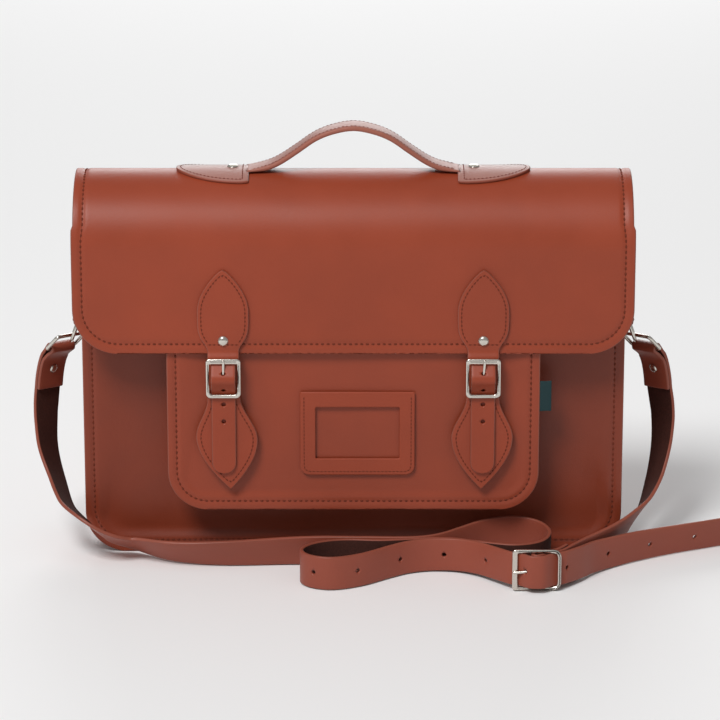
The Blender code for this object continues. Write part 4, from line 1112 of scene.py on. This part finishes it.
def make_card_holder():
    """A plate with a window, stitched round three sides."""
    middle, half = (CARD_LOW.x + CARD_HIGH.x) / 2, (CARD_HIGH.x - CARD_LOW.x) / 2
    corner, seam, thick = 0.0070, 0.0028, 0.0019
    centre = Vector((middle, CARD_HIGH.y - 0.0009 + POCKET_DISH * 0.7, 0))
    outer = loop_of(half, CARD_LOW.z, CARD_HIGH.z, (0.0012, 0.0012, corner, corner), 8)
    inner = loop_of(WINDOW_HALF_W, WINDOW_LOW_Z, WINDOW_HIGH_Z, (0.0008,) * 4, 8)
    plate = cast_frame("card_holder_plate", centre, X, Z, outer, inner, thick, GRAIN)
    put(plate, "bag", "leather", "card_holder")
    path = u_path(half - seam, CARD_LOW.z + seam, CARD_HIGH.z - 0.0035, corner - seam, 6)
    sew("card_stitches", [path], flat_face(centre.y - thick / 2, x=middle), "bag", CARD_THREAD)


def make_label():
    """A plain woven tab folded into the pocket's seam."""
    rows = []
    mid_z = (LABEL_LOW.z + LABEL_HIGH.z) / 2 + 0.0004
    half = (LABEL_HIGH.z - LABEL_LOW.z) / 2 + 0.0012
    for k in range(9):
        share = k / 8
        x = LABEL_LOW.x - 0.0012 + (LABEL_HIGH.x - LABEL_LOW.x + 0.0012) * share
        y = (LABEL_LOW.y + LABEL_HIGH.y) / 2 + 0.0011 * share * share
        rows.append((Vector((x, y, mid_z)), Z, -Y, half - 0.0003 * math.sin(math.pi * share), 0.0010))
    put(sheet("woven_tab", rows, 8, (TEAL,) * 3, rim=0.0004), "bag", "woven", "label_tab")


# ---- handle
def pad_half(share):
    """Half the pad's width: square at its inner end and a rounded point at its outer end."""
    taper = math.sqrt(max(1 - max(share - 0.10, 0) ** 2 / 0.81, 0.004))
    return 0.0248 * (0.97 + 0.03 * min(share / 0.1, 1)) * taper


GRIP_HALF_W, GRIP_CROWN = 0.0113, 0.0006


def grip_thickness(x):
    """The grip is thin where it lies under the pads."""
    return 0.0012 + 0.0022 * ease((0.080 - abs(x)) / 0.018)


def make_handle():
    crest = ARCH_Z + ARCH_R
    base = GRIP_BASE_Z
    rise = [(x, crest + lift) for x, lift in (
        (-0.0795, 0.0011), (-0.0765, 0.0012), (-0.0700, 0.0021), (-0.0620, 0.0038), (-0.0530, 0.0080),
        (-0.0410, 0.0160), (-0.0280, 0.0250))]
    rise += [(-0.0150, base - 0.0044), (0.0, base - 0.0018)]
    route = [*rise, *[(-x, z) for x, z in reversed(rise[:-1])]]
    line = curve_through([Vector((x, ARCH_Y, z)) for x, z in route], 0.0035)[0]
    rows = []
    for point, tangent in zip(line, directions(line)):
        rows.append((point, Y, Vector((-tangent.z, 0, tangent.x)), GRIP_HALF_W, grip_thickness(point.x)))
    grip = sheet("grip_strap", rows, 12, (PALE_SHEEN_GRAIN,) * 3, rim=0.0013, crown=GRIP_CROWN)
    put(grip, "flap", "leather", "handle_grip")
    make_grip_seam(line, -1, "front")
    make_grip_seam(line, 1, "back")
    for side, word in SIDES:
        make_pad(side, word)


def make_grip_seam(line, side, word):
    """A row of fine stitches along one edge of the grip."""
    run = [p for p in line if abs(p.x) < 0.074]
    lengths = [0.0]
    for a, b in zip(run, run[1:]):
        lengths.append(lengths[-1] + (b - a).length)

    def face(u, v):
        k = max(i for i in range(len(run)) if lengths[i] <= u or i == 0)
        k = min(k, len(run) - 2)
        share = (u - lengths[k]) / (lengths[k + 1] - lengths[k])
        tangent = (run[k + 1] - run[k]).normalized()
        normal = Vector((-tangent.z, 0, tangent.x))
        lift = grip_thickness(run[k].x) / 2 + GRIP_CROWN * (1 - (v / GRIP_HALF_W) ** 2)
        return run[k].lerp(run[k + 1], share) + Y * v + normal * lift, normal

    path = [(0.0, side * 0.0088), (lengths[-1], side * 0.0088)]
    sew("grip_stitches_" + word, [path], face, "flap", GRIP_THREAD)


def make_pad(side, word):
    inner, outer = PAD_LOW.x, PAD_HIGH.x
    middle_r = ARCH_R + GAP + THIN / 2
    rows = []
    for k in range(31):
        share = 1 - (1 - k / 30) ** 1.6 if k else 0.0
        x = inner + (outer - inner) * share
        rows.append((Vector((side * x, ARCH_Y, ARCH_Z + middle_r)), Y, Z, pad_half(share), THIN))
    pad = sheet("pad_" + word, rows, 18, (PAD_SHEEN_GRAIN, EDGE, FLESH), rim=0.0008, curl=middle_r)
    put(pad, "flap", "leather", "handle_pad_" + word)
    top = middle_r + THIN / 2

    def face(u, v):
        turn = v / middle_r
        normal = Vector((0, math.sin(turn), math.cos(turn)))
        return Vector((side * u, ARCH_Y, ARCH_Z)) + normal * top, normal

    seam = 0.0031
    edge = [(inner + (outer - inner) * k / 40, pad_half(k / 40)) for k in range(41)]
    near = [(u, v) for u, v in offset_path(edge, -seam) if v > 0.0004 and u > inner + 0.0044]
    loop = near + [(u, -v) for u, v in reversed(near)]
    sew("pad_stitches_" + word, [loop, [loop[0], loop[-1]]], face, "flap", PAD_THREAD)
    node = "handle_rivet_" + word
    spot = Vector((sum(corner[0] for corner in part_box(node)) / 2, ARCH_Y, ARCH_Z + top))
    put(rivet("pad_rivet_" + word, spot, Z, radius=0.0041, height=0.0017), "flap", "nickel", node)


# ---- closures
LEAF_WIDE_Z, LEAF_WIDE, LEAF_NECK = 0.1945, 0.0188, 0.0115
TAIL_HALF = 0.0089
LOWER_WIDE_Z, LOWER_WIDE = 0.0990, 0.0226


def upper_half(z):
    """Half the upper leaf's width: a pointed arch, then a slow narrowing to the neck."""
    if z > LEAF_WIDE_Z:
        share = (LEAF_HIGH.z - z) / (LEAF_HIGH.z - LEAF_WIDE_Z)
        return max(LEAF_WIDE * math.sin(share * math.pi / 2) ** 0.80, 0.0004)
    share = min((LEAF_WIDE_Z - z) / (LEAF_WIDE_Z - FOLD_Z - 0.001), 1)
    neck = LEAF_NECK + (LEAF_WIDE - LEAF_NECK) * (0.5 + 0.5 * math.cos(share ** 2.4 * math.pi))
    return neck - (neck - TAIL_HALF) * ease((BUCKLE_HIGH.z - 0.0002 - z) / 0.0032)


def lower_half(z):
    """Half the lower leaf's width, from under the buckle to its point."""
    if z > LOWER_WIDE_Z:
        share = min((z - LOWER_WIDE_Z) / 0.0310, 1)
        return LOWER_WIDE - (LOWER_WIDE - 0.0120) * (0.5 - 0.5 * math.cos(share * math.pi)) ** 0.9
    share = (z - LOWER_LOW.z) / (LOWER_WIDE_Z - LOWER_LOW.z)
    return max(LOWER_WIDE * math.sin(max(share, 0) * math.pi / 2) ** 0.92, 0.0004)


def make_closures():
    for side, word in SIDES:
        x = side * CLOSURE_X
        make_upper(x, word)
        make_lower(x, word, 0.0046 if side < 0 else -0.0008)
        make_closure_buckle(x, word, side)
        make_snap(word)


def facing(direction, way):
    return direction if direction.dot(way) > 0 else -direction


def leaf_seam(half_at, start, end, inset, margin):
    """The stitch line inside a pointed leaf's edge: up one side to its point at end, and down the other."""
    sign = math.copysign(1, end - start)
    heights = [start + (end - start) * k / 60 for k in range(61)]
    line = offset_path([(half_at(z), z) for z in heights], inset * sign)
    inside = [(u, v) for u, v in line if u > 0.0003 and (end - v) * sign > margin]
    return [(-u, v) for u, v in inside] + [(u, v) for u, v in reversed(inside)]


def make_upper(x, word):
    """The leaf riveted to the flap runs on as the strap, through the buckle to its round end."""
    leaf_y = (LEAF_LOW.y + LEAF_HIGH.y) / 2
    behind_y = LOWER_HIGH.y - THIN * 1.5 - GAP
    over_y = TAIL_LOW.y + THIN / 2
    half_way = (behind_y + over_y) / 2
    top, bottom, bar = BUCKLE_HIGH.z, BUCKLE_LOW.z, BAR_Z
    route = [(leaf_y, z) for z in (LEAF_HIGH.z, 0.2220, 0.2150, 0.2050, 0.1950, 0.1850, 0.1760, 0.1690)]
    route += [(leaf_y - 0.0001, 0.1645), (behind_y, top - 0.0002), (behind_y, top - 0.0030)]
    route += [(half_way, bar + 0.0064), (over_y + 0.0005, bar + 0.0022), (over_y, bar),
              (over_y + 0.0005, bar - 0.0022), (half_way, bar - 0.0064)]
    route += [(behind_y, bottom + 0.0030), (behind_y, bottom - 0.0010), (behind_y + 0.0002, 0.1200),
              (behind_y + 0.0001, 0.1000), (behind_y, TAIL_LOW.z)]
    line = curve_through([Vector((x, y, z)) for y, z in route], 0.0016)[0]
    rows = []
    for point, tangent in zip(line, directions(line)):
        end = min(max(point.z - TAIL_LOW.z, 0) / 0.0088, 1)
        half = upper_half(point.z) if point.z > bottom else TAIL_HALF
        half = half * math.sqrt(max(1 - (1 - end) ** 2, 0.02))
        rows.append((point, X, facing(Vector((0, tangent.z, -tangent.y)), -Y), half, THIN))
    leather = sheet("closure_leather_" + word, rows, 10, LEATHER)
    for z in (bar + 0.0041, 0.1372, 0.1253, 0.1120):
        spot = min(rows, key=lambda row: abs(row[0].z - z))
        drill(leather, spot[0], spot[2], 0.0036)
    settle(leather)
    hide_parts("upper_leaf_" + word, "closure_strap_" + word)
    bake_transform(leather)

    face_y = leaf_y - THIN / 2
    node = "leaf_rivet_" + word
    rivet_z = sum(corner[2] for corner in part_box(node)) / 2
    seam_z = rivet_z - 0.0028
    run = leaf_seam(upper_half, seam_z, LEAF_HIGH.z, 0.0027, 0.002)
    cross = [(run[0][0], seam_z), (run[-1][0], seam_z)]
    sew("upper_leaf_stitches_" + word, [run, cross], flat_face(face_y, x=x), "flap", LEAF_THREAD)
    spot = Vector((x, face_y, rivet_z))
    head = rivet("leaf_rivet_head_" + word, spot, -Y, radius=0.0038, height=0.0021)
    put(head, "flap", "nickel", node)


def make_lower(x, word, drift):
    """The pointed leaf that carries the buckle and the snap: its top is folded round the centre bar.

    It leans, so that its point is drift to the right of its top.
    """
    def lean(z):
        return drift * min(max((0.1310 - z) / 0.0720, 0), 1)

    low_y = LOWER_HIGH.y - THIN / 2
    loop = [(BAR_Y + 0.0021 * math.cos(t), BAR_Z + 0.0021 * math.sin(t))
            for t in map(math.radians, (95, 70, 45, 20, -5, -30, -60))]
    route = loop + [(low_y - 0.0010, BAR_Z - 0.0058), (low_y, BAR_Z - 0.0105)]
    route += [(low_y, z) for z in (0.1280, 0.1180, 0.1080, 0.0980, 0.0880, 0.0780, 0.0690, 0.0620, LOWER_LOW.z)]
    line = curve_through([Vector((x, y, z)) for y, z in route], 0.0018)[0]
    rows = []
    for point, tangent in zip(line, directions(line)):
        thick = 0.0012 + (THIN - 0.0012) * ease((BAR_Z - 0.004 - point.z) / 0.006)
        outward = Vector((0, tangent.z, -tangent.y))
        if point.z <= BAR_Z - 0.004:
            outward = facing(outward, -Y)
        half = lower_half(point.z) if point.z < 0.1330 else 0.0088 + 0.0032 * ease((0.1375 - point.z) / 0.0045)
        rows.append((point + X * lean(point.z), X, outward, half, thick))
    leaf = sheet("lower_leaf_leather_" + word, rows, 12, LEATHER)
    put(leaf, "closure_" + word, "leather", "lower_leaf_" + word)

    def face(u, v):
        return Vector((x + u + lean(v), low_y - THIN / 2, v)), -Y

    run = leaf_seam(lower_half, 0.1290, LOWER_LOW.z, 0.0034, 0.003)
    sew("lower_leaf_stitches_" + word, [run], face, "closure_" + word, LEAF_THREAD)


def make_closure_buckle(x, word, side):
    centre, depth = Vector((x, BAR_Y, BAR_Z)), 0.0024
    half_h = (BUCKLE_HIGH.z - BUCKLE_LOW.z) / 2
    half_w = (BUCKLE_HIGH.x - BUCKLE_LOW.x) / 2 - 0.0005
    outer = loop_of(half_w, -half_h, half_h, (0.0024, 0.0024, 0.0034, 0.0034))
    inner = loop_of(half_w - 0.0024, -half_h + 0.0027, half_h - 0.0040, (0.0007, 0.0007, 0.0027, 0.0027))
    buckle = cast_frame("closure_frame_" + word, centre, X, Z, outer, inner, depth)
    groove = bmesh.new()
    bmesh.ops.create_cube(groove, size=1)
    bmesh.ops.scale(groove, vec=(half_w * 1.44, 0.0012, 0.0006), verts=groove.verts)
    slot = as_object("slot", groove, [DARK_NICKEL], False)
    slot.location = centre + Vector((0, -0.0012, half_h - 0.0017))
    bpy.context.view_layer.update()
    take_out(buckle, slot)
    settle(buckle)
    put(buckle, "closure_" + word, "nickel", "closure_buckle_" + word)
    put(centre_bar("closure_bar_" + word, centre, X * (half_w - 0.0012), 0.0012), "closure_" + word, "nickel")
    lean = Vector((0.0010 if side > 0 else 0.0002, 0, 0))
    pin = prong("closure_pin_" + word, centre, Z, -Y, reach=half_h - 0.0012, bar_r=0.0012,
                front=depth / 2 + 0.0009, radius=0.0010, lean=lean)
    put(pin, "prong_" + word, "nickel", "closure_prong_" + word)


# (radius, height) round half a snap, in shares of its own
SNAP_SHAPE = ((0.95, 0), (1, 0.25), (1, 0.75), (0.94, 1), (0.45, 1), (0.42, 0.7), (0, 0.7))


def make_snap(word):
    """A snap: one half on the leaf, one on the pocket."""
    halves = (("snap_stud_", "closure_" + word, 0.0004), ("snap_base_", "bag", POCKET_DISH))
    for kind, body, sunk in halves:
        low, high = corners(kind + word)
        radius, depth = (high.x - low.x) / 2, high.y - low.y
        base = Vector(((low.x + high.x) / 2, high.y, (low.z + high.z) / 2))
        profile = [(radius * 0.94, -sunk)] + [(radius * out, depth * up) for out, up in SNAP_SHAPE]
        put(lathe(kind + "cap_" + word, base, -Y, profile), body, "nickel", kind + word)


# ---- side hardware
def make_side_hardware():
    for side, word in SIDES:
        make_side_tab(side, word)
        make_d_ring(side, word)
        make_strap_ring(side, word)


def make_d_ring(side, word):
    bar = Vector(JOINT["d_ring_swing_" + word]["pos_m"])
    lean = math.radians(20)
    down = Vector((side * math.sin(lean), 0, -math.cos(lean)))
    half, depth, corner = 0.0142, 0.0175, 0.003
    outline = arc((half - corner, corner), corner, 0, -90, 5)
    outline += arc((corner - half, corner), corner, 270, 180, 5)
    for k in range(1, 28):
        turn = math.radians(180 - 180 * k / 28)
        outline.append((half * math.cos(turn), 0.0050 + (depth - 0.0050) * math.sin(turn) ** 0.8))
    points = [bar + Y * u + down * v for u, v in outline]
    put(wire("d_ring_wire_" + word, points, 0.0013), "d_ring_" + word, "nickel", "d_ring_" + word)


def make_strap_ring(side, word):
    bottom, wide, fall = ring_axes(side)
    half_h, node = 0.0081, "strap_ring_" + word
    middle = bottom - fall * half_h
    outline = loop_of(0.01455, -half_h, half_h, (0.0026,) * 4)
    points = [middle + wide * u + fall * v for u, v in outline]
    put(wire("strap_ring_wire_" + word, points, RING_R), node, "nickel", node)


def make_side_tab(side, word):
    """A riveted tab whose fold holds the D ring."""
    bar = Vector(JOINT["d_ring_swing_" + word]["pos_m"])
    t = 0.0020
    inner_x = GUSSET_HIGH.x - FLANGE + GAP + t / 2
    outer_x = inner_x + t + GAP
    loop = 0.0013 + GAP + t / 2
    bar_x = abs(bar.x)
    path = [(outer_x, 0.2170), (outer_x, 0.2060), (outer_x + 0.0007, 0.1980),
            (bar_x + loop * 0.97, bar.z + 0.0045), *arc((bar_x, bar.z), loop, 10, -165, 8),
            (bar_x - loop * 0.86, bar.z + 0.0030), (inner_x + 0.0010, 0.1960), (inner_x, 0.2040),
            (inner_x, 0.2158)]
    line = curve_through([Vector((side * x, SIDE_Y, z)) for x, z in path], 0.0016)[0]
    rows = [(point, Y, tangent.cross(Y) * side, 0.0105, t) for point, tangent in zip(line, directions(line))]
    tab = sheet("side_tab_leather_" + word, rows, 8, LEATHER, rim=0.0006)
    put(tab, "bag", "leather", "side_tab_" + word)
    node = "side_rivet_" + word
    spot = Vector((side * (outer_x + t / 2), SIDE_Y, sum(corner[2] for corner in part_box(node)) / 2))
    put(rivet("side_rivet_head_" + word, spot, X * side, radius=0.0037, height=0.0018), "bag", "nickel", node)


make_stage()
make_straps()
make_cover()
make_body()
make_handle()
make_closures()
make_side_hardware()
